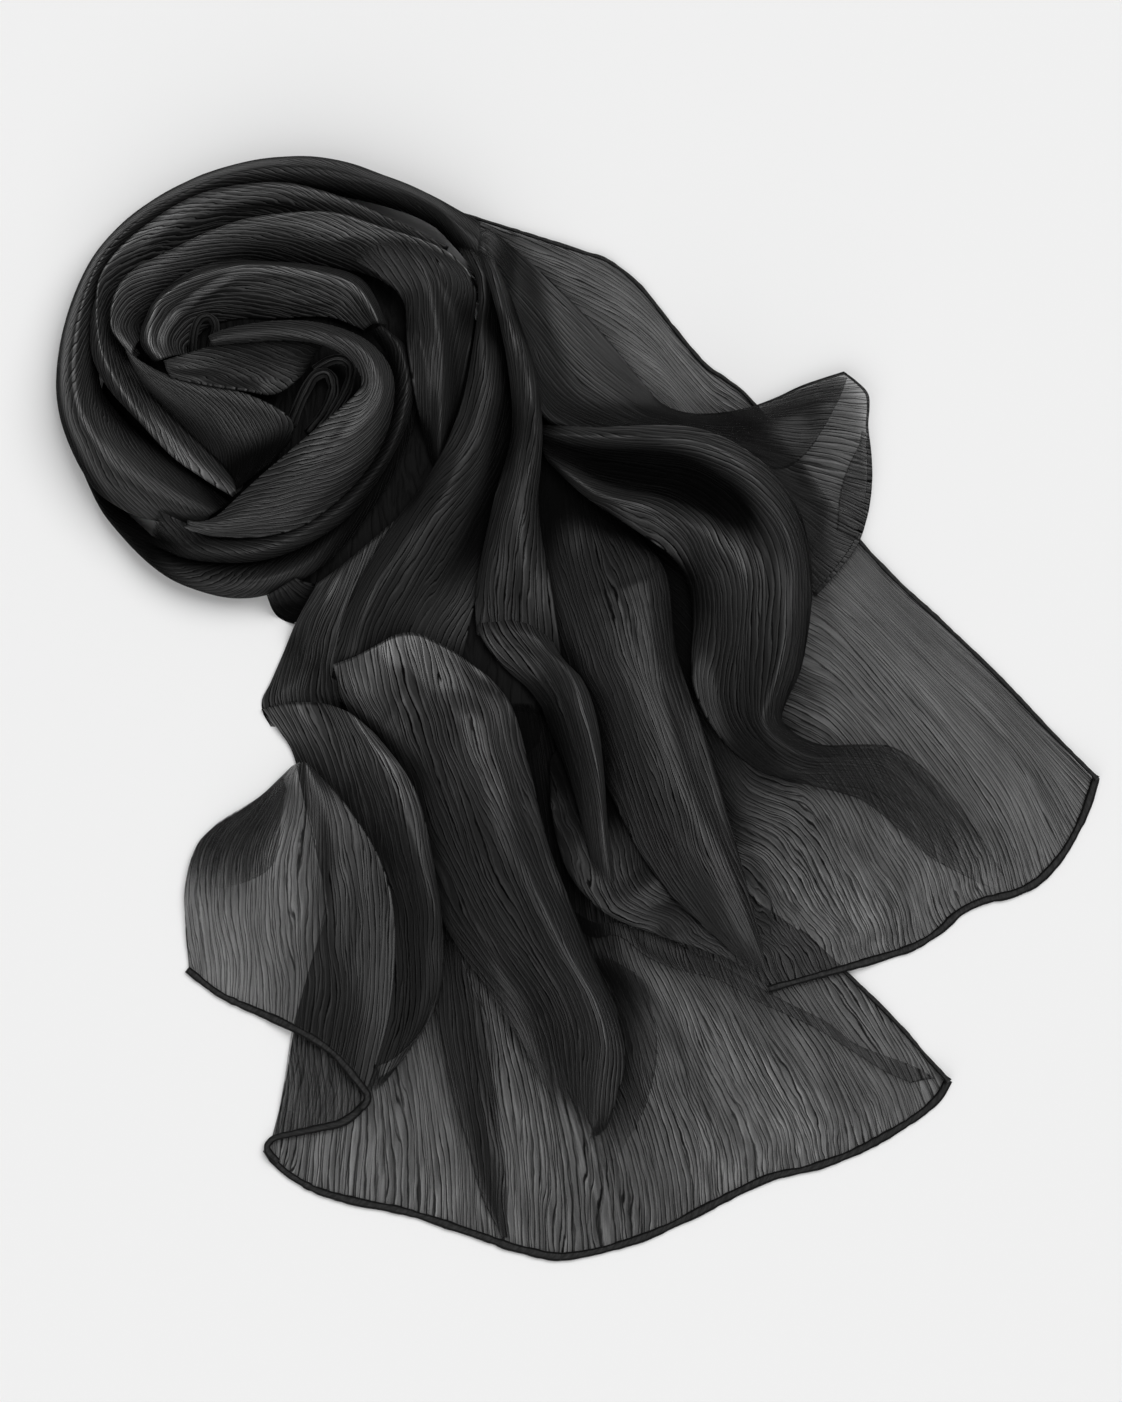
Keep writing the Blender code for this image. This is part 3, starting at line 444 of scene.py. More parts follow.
def runOf(line):
    # running length at each of a line's points
    return np.concatenate([[0], np.cumsum(np.linalg.norm(np.diff(line, axis=0), axis=1))])


def lengthsAlong(points, axis):
    # running lengths in millimetres of the grid's lines along one axis
    steps = np.linalg.norm(np.diff(points, axis=axis), axis=-1)
    run = np.cumsum(steps, axis=axis)
    pad = [(0, 0), (0, 0)]
    pad[axis] = (1, 0)
    return np.pad(run, pad)


def clothPlace(points, gather):
    # (across, along) in millimetres of the flat cloth at each point; the cloth's lines run together where it is
    # gathered, and gather says how much: 0 keeps them apart, 1 keeps every line whole
    across, along = lengthsAlong(points, 0), lengthsAlong(points, 1).mean(axis=0)
    widths = across[-1]
    widest = widths.max()
    share = across / widths[None, :]
    squeeze = (widths / widest)[None, :] ** (1 - gather)
    return (share - 0.5) * widest * squeeze, along[None] * np.ones_like(share)


def normalsOf(points):
    acrossStep = np.gradient(points, axis=0)
    alongStep = np.gradient(points, axis=1)
    normal = np.cross(acrossStep, alongStep)
    normal /= np.maximum(np.linalg.norm(normal, axis=-1, keepdims=True), 1e-9)
    return normal if normal[..., 2].mean() > 0 else -normal


def creaseAt(places, line, width):
    # 1 along a soft line on the layout plane, fading to nothing beside it and towards its ends
    line = smoothLine(line, 6 * len(line))
    run = runOf(line)
    best, share = np.full(places.shape[:2], 1e9), np.zeros(places.shape[:2])
    for k in range(len(line) - 1):
        ahead = line[k + 1] - line[k]
        along = np.clip(np.sum((places - line[k]) * ahead, -1) / np.sum(ahead**2), 0, 1)
        away = np.linalg.norm(places - line[k] - along[..., None] * ahead, axis=-1)
        nearer = away < best
        best = np.where(nearer, away, best)
        share = np.where(nearer, (run[k] + along * (run[k + 1] - run[k])) / run[-1], share)
    return np.exp(-((best / width) ** 2)) * np.sin(math.pi * np.clip(share, 0.03, 0.97)) ** 0.6


def wrinkled(points, cloth, shares, onLayout):
    # returns the moved points, the phase of the fine crinkles, how strong they are and the flat places; each noise
    # has spots of so many millimetres across and along the cloth
    u, v = clothPlace(points, cloth["gather"])
    seed = cloth["seed"]
    warp = 1.7 * noiseAt(u / 17, v / 62, seed) + 0.75 * noiseAt(u / 8, v / 26, seed + 1)
    warp = warp + 3.2 * noiseAt(u / 60, v / 150, seed + 2)
    phase = (u + cloth["slant"] * v) / cloth["spacing"] + warp
    strength = stepUp(0.25, 0.7, noiseAt(u / 13, v / 48, seed + 3))
    strength = strength * (0.35 + 0.65 * stepUp(0.2, 0.6, noiseAt(u / 40, v / 34, seed + 4)))
    ridge = np.abs(np.cos(math.pi * phase)) ** 0.8 - 0.62
    second = (u + cloth["slant"] * v) / cloth["wide"] + 1.6 * noiseAt(u / 30, v / 80, seed + 5)
    soft = np.cos(2 * math.pi * second) * (0.3 + 0.7 * noiseAt(u / 35, v / 50, seed + 6))
    lift = cloth["fine"] * ridge * (0.25 + 0.75 * strength) + cloth["soft"] * soft
    lift = lift + cloth["crumple"] * (noiseAt(u / 7, v / 9, seed + 7) - 0.5)
    for line, width, height in cloth.get("creases", ()):
        lift = lift + height * creaseAt(onLayout, np.asarray(line, float), width)
    s, t = shares
    size = np.array([lengthsAlong(points, 0)[-1].mean(), lengthsAlong(points, 1)[:, -1].mean()])
    rim = np.minimum(np.minimum(s, 1 - s) * size[0], np.minimum(t, 1 - t) * size[1])
    lift = lift * stepUp(-2, 4, rim)    # the edges stay nearly where they are
    return points + normalsOf(points) * lift[..., None], phase, strength, (u, v)


# meshes
def selectOnly(obj):
    bpy.ops.object.select_all(action="DESELECT")
    obj.select_set(True)
    bpy.context.view_layer.objects.active = obj


def editAll(piece, *steps):
    # runs mesh operators, each on all of the piece
    selectOnly(piece)
    bpy.ops.object.mode_set(mode="EDIT")
    for operator, settings in steps:
        bpy.ops.mesh.select_all(action="SELECT")
        operator(**settings)
    bpy.ops.object.mode_set(mode="OBJECT")


def placesOf(piece):
    places = np.empty(3 * len(piece.data.vertices), np.float32)
    piece.data.vertices.foreach_get("co", places)
    return places.reshape(-1, 3).astype(float)


def movePlaces(piece, places):
    # from points in millimetres
    piece.data.vertices.foreach_set("co", (places * mm).astype(np.float32).ravel())
    piece.data.update()


def giveValues(piece, name, values):
    # one value for each point, for the material
    piece.data.attributes.new(name, "FLOAT", "POINT").data.foreach_set("value", values.astype(np.float32).ravel())


def dressed(piece, node, material):
    # stands the piece in for its node and gives it its finish
    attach(piece, "root")
    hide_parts(node)
    piece.data.materials.clear()
    piece.data.materials.append(material)
    return piece


def pieceName(node):
    return "".join(word.capitalize() if place else word for place, word in enumerate(node.split("_")))


def gridPiece(name, points, phase, strength, plies, paintedSheen, flatPlace):
    # a grid primitive whose points are moved to the cloth's
    across, along = points.shape[0] - 1, points.shape[1] - 1
    bpy.ops.mesh.primitive_grid_add(x_subdivisions=across, y_subdivisions=along, size=2)
    piece = bpy.context.active_object
    piece.name = piece.data.name = name
    movePlaces(piece, np.swapaxes(points, 0, 1).reshape(-1, 3))
    order = np.empty(len(piece.data.loops), np.int32)
    piece.data.loops.foreach_get("vertex_index", order)
    flat = np.stack([np.swapaxes(side, 0, 1).ravel() * mm for side in flatPlace], -1)
    layer = piece.data.uv_layers.active or piece.data.uv_layers.new(name="cloth")
    layer.name = "cloth"
    layer.data.foreach_set("uv", flat[order].astype(np.float32).ravel())
    for label, values in (("crinkle", phase), ("strength", strength), ("plies", plies), ("paintedSheen", paintedSheen)):
        giveValues(piece, label, np.swapaxes(np.broadcast_to(values, points.shape[:2]), 0, 1))
    selectOnly(piece)
    bpy.ops.object.shade_smooth()
    if np.cross(points[1, 0] - points[0, 0], points[0, 1] - points[0, 0])[2] < 0:
        editAll(piece, (bpy.ops.mesh.flip_normals, {}))
    return piece


def thicken(piece, wall):
    selectOnly(piece)
    shell = piece.modifiers.new("wall", "SOLIDIFY")
    shell.thickness = wall * mm
    shell.offset = 0
    bpy.ops.object.modifier_apply(modifier=shell.name)


def joined(pieces):
    selectOnly(pieces[0])
    for piece in pieces:
        piece.select_set(True)
    if len(pieces) > 1:
        bpy.ops.object.join()
    return pieces[0]


def finerGrid(coarse):
    # the coarse grid's own form in finer cells
    width, length = (lengthsAlong(coarse, axis).max() for axis in (0, 1))
    across = max(int(width / build["cellAcross"]), coarse.shape[0] - 1)
    along = max(int(length / build["cellAlong"]), coarse.shape[1] - 1)
    across = max(min(across, build["mostCells"] // along), coarse.shape[0] - 1)
    return smoothGrid(np.asarray(coarse), across, along)


def sharesOf(onLayout, line):
    # where points of the layout plane are on a sheet, as shares across and along
    rows, columns = onLayout.shape[:2]
    found = []
    for point in line:
        spot = np.argmin(np.sum((onLayout - point) ** 2, axis=-1))
        found.append((spot // columns / (rows - 1), spot % columns / (columns - 1)))
    return np.array(found)


stripForm = {
    "cellAcross": 1.2, "cellAlong": 2,
    "rise": 0.55,           # above its sheet
    "rimRise": 0.25,        # and more at its two sides
    "rimWidth": 0.08,       # as a share of its width
    "phase": 0.37,          # its crinkles lie beside the sheet's
}


def stripPlaces(onLayout, strip):
    # shares across and along the sheet of a second layer that lies on part of it, between two lines of the layout
    # plane, or of the sheet's own shares where the strip gives its cells
    sides = [np.asarray(strip[side], float) for side in ("left", "right")]
    if "cells" in strip:
        across, along = strip["cells"]
    else:
        along = int(max(runOf(side)[-1] for side in sides) / stripForm["cellAlong"]) + 2
        across = int(np.linalg.norm(sides[0] - sides[1], axis=1).max() / stripForm["cellAcross"]) + 2
        sides = [sharesOf(onLayout, side) for side in sides]
    left, right = (smoothLine(side, along) for side in sides)
    step = np.linspace(0, 1, across)[:, None, None]
    places = np.clip(left[None] + step * (right - left)[None], 0, 1)
    return places[..., 0], places[..., 1]


def sampled(grid, s, t):
    # with the place as shares across and along
    return between(grid, s * (grid.shape[0] - 1), t * (grid.shape[1] - 1))


def layersAt(layers, s, t):
    # how many layers lie together, from rows along the cloth with values across it
    rows = np.atleast_2d(np.asarray(layers, float)).T
    if rows.shape[1] == 1:
        rows = np.repeat(rows, 2, axis=1)
    if rows.shape[0] == 1:
        rows = np.repeat(rows, 2, axis=0)
    return sampled(rows, s, t)


def turnedSides(points, others, radius, steps=(35, 75, 115, 150)):
    # rolls the two long sides under, as a fold of soft cloth does; the other fields keep their side's values
    normals = normalsOf(points)
    sides = []
    for edge, inner in ((0, 1), (-1, -2)):
        out = points[edge] - points[inner]
        out /= np.maximum(np.linalg.norm(out, axis=-1, keepdims=True), 1e-9)
        rows = []
        for angle in np.radians(steps):
            row = points[edge] + radius * (np.sin(angle) * out - (1 - np.cos(angle)) * normals[edge])
            row[:, 2] = np.maximum(row[:, 2], build["leastHeight"])
            rows.append(row)
        sides.append(np.array(rows))
    count = len(steps)
    points = np.concatenate([sides[0][::-1], points, sides[1]])
    grown = [np.concatenate([np.repeat(x[:1], count, 0), x, np.repeat(x[-1:], count, 0)]) for x in others]
    return points, grown


def stripPiece(name, strip, onLayout, moved, fields):
    # the second layer as a piece of its own, which its sheet takes in
    s, t = stripPlaces(onLayout, strip)
    across, along = np.linspace(0, 1, s.shape[0])[:, None], np.linspace(0, 1, s.shape[1])[None]
    rim = np.minimum(across, 1 - across)
    rise = strip.get("rise", stripForm["rise"]) + stripForm["rimRise"] * np.exp(-((rim / stripForm["rimWidth"]) ** 2))
    points = sampled(moved, s, t) + sampled(normalsOf(moved), s, t) * rise[..., None]
    phase, strength, *flatPlace = (sampled(field, s, t) for field in fields)
    firstEnd, lastEnd = (max(share, tiny) for share in strip.get("soft", (0, 0)))
    plies = strip["plies"] * stepUp(0, firstEnd, along + tiny) * stepUp(0, lastEnd, 1 - along + tiny)
    piece = gridPiece(name, points, phase + stripForm["phase"], strength, plies, 1, flatPlace)
    thicken(piece, build["clothWall"])
    return piece


def laidSheet(cloth, pile):
    # the sheet's coarse grid as drawn and as it lies, and how many of its rows run on ahead, hidden by others
    folds = [list(row) for row in cloth["folds"].values()]
    across, along = cloth["cells"]
    hidden = 0
    if "ahead" in cloth:
        hidden = round(along / (len(folds[0]) - 1))
        folds = [[first] + row for first, row in zip(cloth["ahead"], folds)]
    drawn = smoothGrid(folds, across, along + hidden)
    coarse = laid(drawn, pile, cloth["lies"])
    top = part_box(cloth["node"])[1].z / mm
    coarse = coarse - [0, 0, max(coarse[:, hidden:, 2].max() + build["wall"] / 2 - top, 0)]
    if cloth["lies"] == "laid":
        coarse[:, :hidden, 2] = np.minimum(coarse[:, :hidden, 2], coarse[:, hidden : hidden + 1, 2])
        coarse[:, :hidden, 2] -= cloth["sink"] * np.linspace(1, 0, hidden, endpoint=False)
    return drawn, coarse, hidden


def flatArea(points):
    a, b = points[1:, :-1] - points[:-1, :-1], points[:-1, 1:] - points[:-1, :-1]
    c, d = points[1:, :-1] - points[1:, 1:], points[:-1, 1:] - points[1:, 1:]
    area = np.linalg.norm(np.cross(a, b), axis=-1) + np.linalg.norm(np.cross(c, d), axis=-1)
    return area.sum() / 2 * mm * mm


def clothSheet(cloth, pile):
    # lays one stretch of cloth on the pile, adds it to the pile and makes its piece
    drawn, coarse, hidden = laidSheet(cloth, pile)
    hems = [hemOf(cloth["node"], coarse, pile, *hem) for hem in cloth.get("hems", ())]
    addToPile(pile, coarse[:, hidden:], build["wall"] / 2)
    fine = finerGrid(coarse)
    s, t = np.meshgrid(np.linspace(0, 1, fine.shape[0]), np.linspace(0, 1, fine.shape[1]), indexing="ij")
    onLayout = smoothGrid(drawn[..., :2], fine.shape[0] - 1, fine.shape[1] - 1)
    moved, phase, strength, flatPlace = wrinkled(fine, cloth, (s, t), onLayout)
    run = lengthsAlong(fine, 1)
    fadeIn, fadeOut = cloth["fade"]
    plies = layersAt(cloth["layers"], s, t)
    if fadeIn:
        plies = plies * stepUp(0, fadeIn, run)
    if fadeOut:
        plies = plies * stepUp(0, fadeOut, run[:, -1:] - run)
    shown, fields = moved, [phase, strength, plies, layersAt(cloth["paintedSheen"], s, t), *flatPlace]
    if cloth["turned"]:
        shown, fields = turnedSides(moved, fields, cloth["turned"])
    parts = [gridPiece(cloth["name"], shown, *fields[:4], fields[4:])]
    thicken(parts[0], build["clothWall"])
    for strip in cloth.get("strips", {}).values():
        parts.append(stripPiece(cloth["name"] + "Strip", strip, onLayout, moved, (phase, strength, *flatPlace)))
    piece = joined(parts)
    piece.name = piece.data.name = cloth["name"]
    dressed(piece, cloth["node"], chiffon)
    size = [round(lengthsAlong(fine, axis).max() * mm, 3) for axis in (0, 1)]
    print(cloth["name"], "triangles", 2 * len(piece.data.polygons), "area", round(flatArea(coarse), 5), "size", *size)
    return piece, hems


# painted shade between the folds: how far and how softly the pile round a point is taken, the depths over which the
# shade grows, and its darkest share
hollowShadeForm = {"reach": 6, "soft": 14, "depth": (4, 13), "most": 0.95}


def paintShadeInHollows(sheets, pile):
    # painted shade: a value for each point, from 0 on the crests to 1 deep between the folds, that darkens the
    # cloth's colour and takes away its coat; dim says how much of it a sheet takes
    around = smoothed(spread(pile, hollowShadeForm["reach"]), hollowShadeForm["soft"])
    for piece, dim in sheets:
        places = placesOf(piece) / mm
        depth = heightAt(around, places[:, :2]) - places[:, 2]
        giveValues(piece, "hollow", dim * hollowShadeForm["most"] * stepUp(*hollowShadeForm["depth"], depth))


# hems and loops
hemForm = {
    "over": 0.3,            # how far a hem lies over its sheet, as a share of its width
    "past": 1.2,            # how far it goes on past its corner
    "step": 1.3, "around": 10, "thickness": 1.5, "seed": 40,
    "endFrom": 2.5,         # the width from which it is an end's hem
    "endWide": 1.25, "sideWide": 1.1,
    "knot": 0.7, "knotLength": 1.8,     # a side's hem is thick where it ends
}
tubeForm = {"ring": 6, "stitch": 1.4, "crinkle": 1.5, "layers": 6}     # cloth round a tube, and between its lines


def border(grid, side, first, last):
    # a stretch of a sheet's edge, and the step that moves each of its points straight outwards
    edge, inner = {
        "loose": (grid[:, -1], grid[:, -2]),
        "first": (grid[0], grid[1]),
        "last": (grid[-1], grid[-2]),
    }[side]
    ends = slice(round(first * (len(edge) - 1)), round(last * (len(edge) - 1)) + 1)
    line, inside = edge[ends], inner[ends]
    runs = np.diff(line[:, :2], axis=0)
    out = np.stack([runs[:, 1], -runs[:, 0]], -1) / np.linalg.norm(runs, axis=1)[:, None]
    out *= np.sign(np.sum(out * (line - inside)[:-1, :2], axis=1))[:, None]
    before, after = np.vstack([out[:1], out]), np.vstack([out, out[-1:]])
    step = before + after
    return line, step / np.sum(step * after, axis=1)[:, None]


def hemEnd(points, height):
    # layout points where a hem goes on round a soft corner
    return placed([(*point, height) for point in points]) if points else np.empty((0, 3))


def hemOf(node, grid, pile, side, width, first, last, before=(), after=()):
    # lays the line of a hem along part of a sheet's edge; before and after lie beyond its ends
    line, step = border(grid, side, first, last)
    line = line.copy()
    line[:, :2] += step * (width / 2 + build["seamGap"])
    below = heightAt(spread(pile, 2), line[:, :2])
    line[:, 2] = np.maximum(line[:, 2], below + width / 2 + build["layerGap"])
    half = np.array([width / 2, 0, 0])
    addToPile(pile, np.stack([line - half, line + half]), width / 2)
    line[:, :2] -= step * (build["seamGap"] + hemForm["over"] * width)
    line = np.concatenate([hemEnd(before, line[0, 2]), line, hemEnd(after, line[-1, 2])])
    return node + "_" + side + "_hem", line, width


def tubePoints(line, sideWidth, thickness, around, sharp=1):
    # rings round a line: its width lies level and its thickness stands up; sharp above 1 narrows the crest
    ahead = np.gradient(line, axis=0)
    ahead /= np.linalg.norm(ahead, axis=-1, keepdims=True)
    level = np.cross(ahead, [0, 0, 1.0])
    level /= np.linalg.norm(level, axis=-1, keepdims=True)
    up = np.cross(level, ahead)
    angle = np.linspace(0, 2 * math.pi, around + 1)[:, None]
    a = (np.sign(np.cos(angle)) * np.abs(np.cos(angle)) ** sharp * sideWidth / 2)[..., None]
    b = (np.sin(angle) * thickness / 2)[..., None]
    return line[None] + a * level[None] + b * up[None]


def tubePiece(name, points, node, slotName, material):
    # a closed tube; a hem has stitches along it, and a loop has crinkles round it
    around = points.shape[0] - 1
    run = lengthsAlong(points, 1)
    turn = np.broadcast_to(np.linspace(0, 1, around + 1)[:, None], run.shape)
    ring = turn * tubeForm["ring"]
    phase = run / tubeForm["stitch"] if slotName == "rolled_hem" else ring / tubeForm["crinkle"]
    piece = gridPiece(name, points, phase, np.abs(np.cos(turn * 2 * math.pi)), tubeForm["layers"], 1, (ring, run))
    editAll(piece, (bpy.ops.mesh.remove_doubles, {"threshold": 0.00001}),
            (bpy.ops.mesh.fill_holes, {"sides": around + 1}),
            (bpy.ops.mesh.normals_make_consistent, {"inside": False}))
    return dressed(piece, node, material)


def hemPiece(name, node, line, width):
    # the cloth rolled over itself, with small lumps
    for end, inner in ((0, 1), (-1, -2)):
        ahead = line[end] - line[inner]
        line[end] = line[end] + hemForm["past"] * ahead / np.linalg.norm(ahead)
    line = smoothLine(line, max(int(runOf(line)[-1] / hemForm["step"]), len(line)))
    run = runOf(line)
    lump = noiseAt(run / 3.1, run * 0, hemForm["seed"]) - 0.5
    swell = noiseAt(run / 11, run * 0, hemForm["seed"] + 1) - 0.5
    if width > hemForm["endFrom"]:
        wide, knot = hemForm["endWide"], 0
    else:
        wide, knot = hemForm["sideWide"], hemForm["knot"] * np.exp(-(((run[-1] - run) / hemForm["knotLength"]) ** 2))
    across = width * wide * (1 + 0.3 * swell + 0.25 * lump + knot)
    line = line + np.array([0, 0, 1.0]) * (0.25 * lump)[:, None]
    points = tubePoints(line, across, hemForm["thickness"] * (1 + 0.35 * lump), hemForm["around"])
    return tubePiece(name, points, node, "rolled_hem", hemCloth)


# the hidden layers
core = {
    "middle": (165, 215), "height": 13, "fullness": 0.35, "segments": 120, "rings": 48,
    "arms": 3, "winding": 26, "grooves": 0.9,       # the spiral grooves in its upper face
    # direction in degrees clockwise from the right, reach from the middle
    "reach": ((0, 102), (30, 122), (45, 150), (57, 195), (68, 205), (78, 175), (90, 122), (105, 82), (120, 66),
              (150, 96), (180, 116), (210, 121), (240, 116), (270, 110), (300, 104), (330, 90)),
}


def corePlace(turn, share):
    # where the core's upper face is, by direction and share of the reach that way
    angles = [direction for direction, _ in core["reach"]] + [360]
    reaches = [reach for _, reach in core["reach"]] + [core["reach"][0][1]]
    reach = np.interp(turn % 360, angles, reaches) * share
    middle = placed((*core["middle"], 0))
    height = core["height"] * np.maximum(1 - share**2, 0) ** core["fullness"]
    across, ahead = np.cos(np.radians(turn)), -np.sin(np.radians(turn))
    return np.stack([middle[0] + reach * across, middle[1] + reach * ahead, height], -1)


def addCore():
    bpy.ops.mesh.primitive_uv_sphere_add(segments=core["segments"], ring_count=core["rings"], radius=1)
    piece = bpy.context.active_object
    piece.name = piece.data.name = "innerLayers"
    places = placesOf(piece)
    turn = np.degrees(np.arctan2(-places[:, 1], places[:, 0]))
    share = np.minimum(np.hypot(places[:, 0], places[:, 1]), 1)
    moved = corePlace(turn, share)
    upper = places[:, 2] > 0.001
    swirl = np.cos(np.radians(turn) * core["arms"] + share * core["winding"] + 4 * noiseAt(share * 5, turn / 40))
    sink = core["grooves"] * (0.5 + 0.5 * swirl) * stepUp(0.02, 0.2, share) * stepUp(1.0, 0.9, share)
    moved[:, 2] = np.where(upper, np.maximum(moved[:, 2] - sink, 0), 0)
    movePlaces(piece, moved)
    editAll(piece, (bpy.ops.mesh.normals_make_consistent, {"inside": False}))
    bpy.ops.object.shade_smooth()
    dressed(piece, "heap_core", innerCloth)


pile = emptyPile(-build["layerGap"])
addCore()
turns, shares = np.meshgrid(np.linspace(0, 360, 49), np.linspace(0, 1, 12), indexing="ij")
addToPile(pile, corePlace(turns, shares), 0)
print("hidden layers made")


# the stretches of cloth
# cut: width and length in metres, area in square metres
# layers, and the painted sheen that scales the painted highlight and the coat: rows along the sheet, each with its
# values across it
# hems: the side, the hem's width, and the shares of the side where it starts and ends
# creases: a line on the layout, its width and its height; strips: a second layer between two lines
tailBFan = {
    "node": "tail_b_fan", "lies": "floor", "cells": (22, 12), "cut": (0.367, 0.277, 0.058), "held": "laid",
    "restsOn": "tail_a_fan", "gather": 0.5, "turned": 0, "fade": (9, 0),
    "layers": ((5, 5, 5, 5, 5, 5, 5, 5, 4, 3, 3, 2.5, 2, 2),
        (2, 2, 2, 2, 2, 2, 1.8, 1.7, 1.5, 1.3, 1.2, 1.2, 1.2, 1.2),
        (1.1, 1.1, 1.1, 1.1, 1.1, 1.1, 1.1, 1.3, 1.3, 1.1, 1, 1, 1.1, 1.1),
        (1, 1, 1, 1, 1, 1, 1.1, 1.2, 1.2, 1, 1, 1, 1, 1)),
    "hems": [("loose", 3.2, 0, 1), ("last", 2.0, 0.45, 1)],
    "creases": (
        (((235, 520), (250, 570), (260, 610)), 4, -0.8),
        (((320, 505), (350, 545), (380, 580)), 6, 0.6),
        (((350, 500), (400, 535), (435, 555)), 6, -0.5),
        (((280, 575), (295, 595), (305, 615)), 5, 0.5),
        (((170, 550), (185, 585), (200, 607.5)), 5, 0.5),
    ),
    "strips": {
        "double band": {
            "plies": 0.9,
            "left": ((287, 464), (294, 467), (315, 472.5), (347.5, 487), (382, 502.5), (405, 513), (424.5, 524.5),
                (443.5, 536), (456, 542)),
            "right": ((287, 457), (296, 461), (319, 464), (347.5, 476.5), (370.5, 488), (393.5, 501.5), (413, 511),
                (432, 523.5), (468.5, 540)),
        },
        "under the panel": {
            "plies": 1.1, "soft": (0.1, 0.45),
            "left": ((294, 475), (301.5, 488), (308, 505), (310, 520.5), (306, 542.5), (299, 560), (292.5, 575)),
            "right": ((300, 475), (319, 488), (326.5, 507), (328.5, 522.5), (325.5, 543.5), (320, 560), (304, 587)),
        },
        "pleat": {
            "plies": 1.3,
            "left": ((210, 470), (212, 490), (218, 505), (220.5, 518), (224.5, 541), (233.5, 572), (241.5, 600.5),
                (251.5, 619)),
            "right": ((228, 470), (236, 490), (242, 505), (245, 518), (247.5, 543.5), (251, 570), (253, 595),
                (254, 619)),
        },
    },
    "folds": {
        "left turn": ((186, 395, 0), (170, 440, 0), (156, 480, 0), (147, 515, 0), (142, 545, 0), (134.2, 575.5, 0)),
        "low corner": ((189, 395, 0), (177, 440, 0), (166, 480, 0), (157, 517, 0), (150, 552, 0), (143.5, 586, 0)),
        "first flat": ((197, 395, 0), (190, 440, 0), (183, 480, 0), (176, 520, 0), (172, 556, 0), (166, 597.5, 0)),
        "second flat": ((208, 395, 0), (208, 440, 0), (206, 482, 0), (205, 525, 2), (205, 566, 2), (205, 606, 0)),
        "pleat foot": ((217, 395, 0), (220, 445, 2), (222, 490, 3), (227, 535, 3), (236, 580, 2), (247, 620, 0)),
        "pleat ridge": ((224, 372, 0), (235, 450, 4), (243, 495, 6), (249, 540, 6), (251, 585, 4), (256, 623, 0)),
        "light trough": ((234, 364, 0), (248, 455, 2), (262, 500, 0), (270, 545, 0), (276, 590, 0), (281, 628, 0)),
        "under panel": ((245, 355, 0), (265, 460, 2), (280, 505, 2), (290, 550, 0), (300, 590, 0), (310, 622, 0)),
        "low ridge": ((255, 352, 0), (285, 462, 4), (307, 505, 6), (320, 545, 5), (327, 583, 3), (332, 614, 0)),
        "right trough": ((265, 352, 0), (297, 464, 4), (325, 508, 2), (343, 545, 0), (355, 575, 0), (362, 599, 0)),
        "hem step": ((275, 354, 0), (304, 462, 4), (335, 505, 4), (360, 540, 3), (376, 568, 2), (386, 588, 0)),
        "far trough": ((285, 360, 0), (311, 460, 4), (347, 500, 2), (382, 535, 0), (405, 562, 0), (420, 579, 0)),
        "double band": ((299, 372, 0), (320, 458, 4), (357, 482, 5), (402, 513, 5), (436, 539, 4), (461, 556, 0)),
        "side edge": ((338, 396, 0), (372, 444, 2), (398, 464, 3), (424, 488, 2), (449, 513, 0), (473, 541, 0)),
    },
}

tailAFan = {
    "node": "tail_a_fan", "lies": "floor", "cells": (15, 16), "cut": (0.351, 0.442, 0.0644), "held": "laid",
    "restsOn": "tail_b_fan", "gather": 0.5, "turned": 0,
    "layers": ((5, 5, 5, 5, 4, 2.6, 1.4, 1.1), (3, 3, 3, 3, 2.2, 1.3, 1, 1), (2, 1.6, 1.4, 1.4, 1.2, 1, 1, 1),
        (1.2, 1, 1, 1, 1, 1, 1, 1), (1, 1, 1, 1, 1, 1, 1, 1)),
    "hems": [("loose", 3.2, 0, 1), ("last", 2.0, 0, 1)],
    "creases": (
        (((280, 150), (340, 200), (410, 280), (475, 360)), 6, 0.6),
        (((425, 320), (465, 360), (505, 400)), 5, -0.5),
        (((400, 400), (440, 425), (480, 450)), 5, 0.5),
        (((380, 440), (410, 460), (430, 475)), 4, -0.5),
        (((310, 450), (350, 465), (380, 480)), 4, 0.5),
        (((450, 300), (490, 350), (530, 395)), 4, 0.4),
    ),
    "folds": {
        "rolled edge": ((275, 380, 2), (276, 407, 3), (284, 436, 4), (302, 456, 4), (325, 466, 4), (348, 474, 4),
            (367, 481, 3), (385, 494, 0)),
        "low ridge": ((288, 352, 2), (318, 380, 2), (335, 402, 2), (352, 422, 2), (370, 440, 2), (390, 458, 2),
            (407, 471, 2), (425, 483, 0)),
        "fan foot": ((284, 316, 2), (328, 345, 2), (348, 370, 2), (370, 395, 2), (393, 420, 2), (418, 445, 0),
            (440, 462, 0), (461, 471, 0)),
        "fan middle": ((277, 272, 2), (330, 300, 2), (355, 330, 2), (380, 360, 2), (408, 390, 3), (437, 420, 3),
            (462, 440, 2), (484, 453, 0)),
        "long trough": ((260, 227, 2), (325, 255, 2), (355, 290, 2), (385, 325, 2), (420, 360, 2), (458, 398, 2),
            (488, 426, 0), (513, 444, 0)),
        "long ridge": ((250, 184, 2), (315, 215, 2), (350, 245, 2), (385, 280, 3), (420, 315, 4), (465, 360, 4),
            (501, 398, 3), (530, 428, 0)),
        "side trough": ((240, 140, 2), (297, 165, 2), (330, 195, 2), (365, 232, 2), (404, 275, 2), (457, 325, 2),
            (505, 370, 0), (541, 408, 0)),
        "side edge": ((233, 108, 3), (280, 123, 3), (313, 137, 2), (350, 181, 0), (377, 203, 0), (431, 273, 2),
            (490, 330, 0), (547, 390, 0)),
    },
}

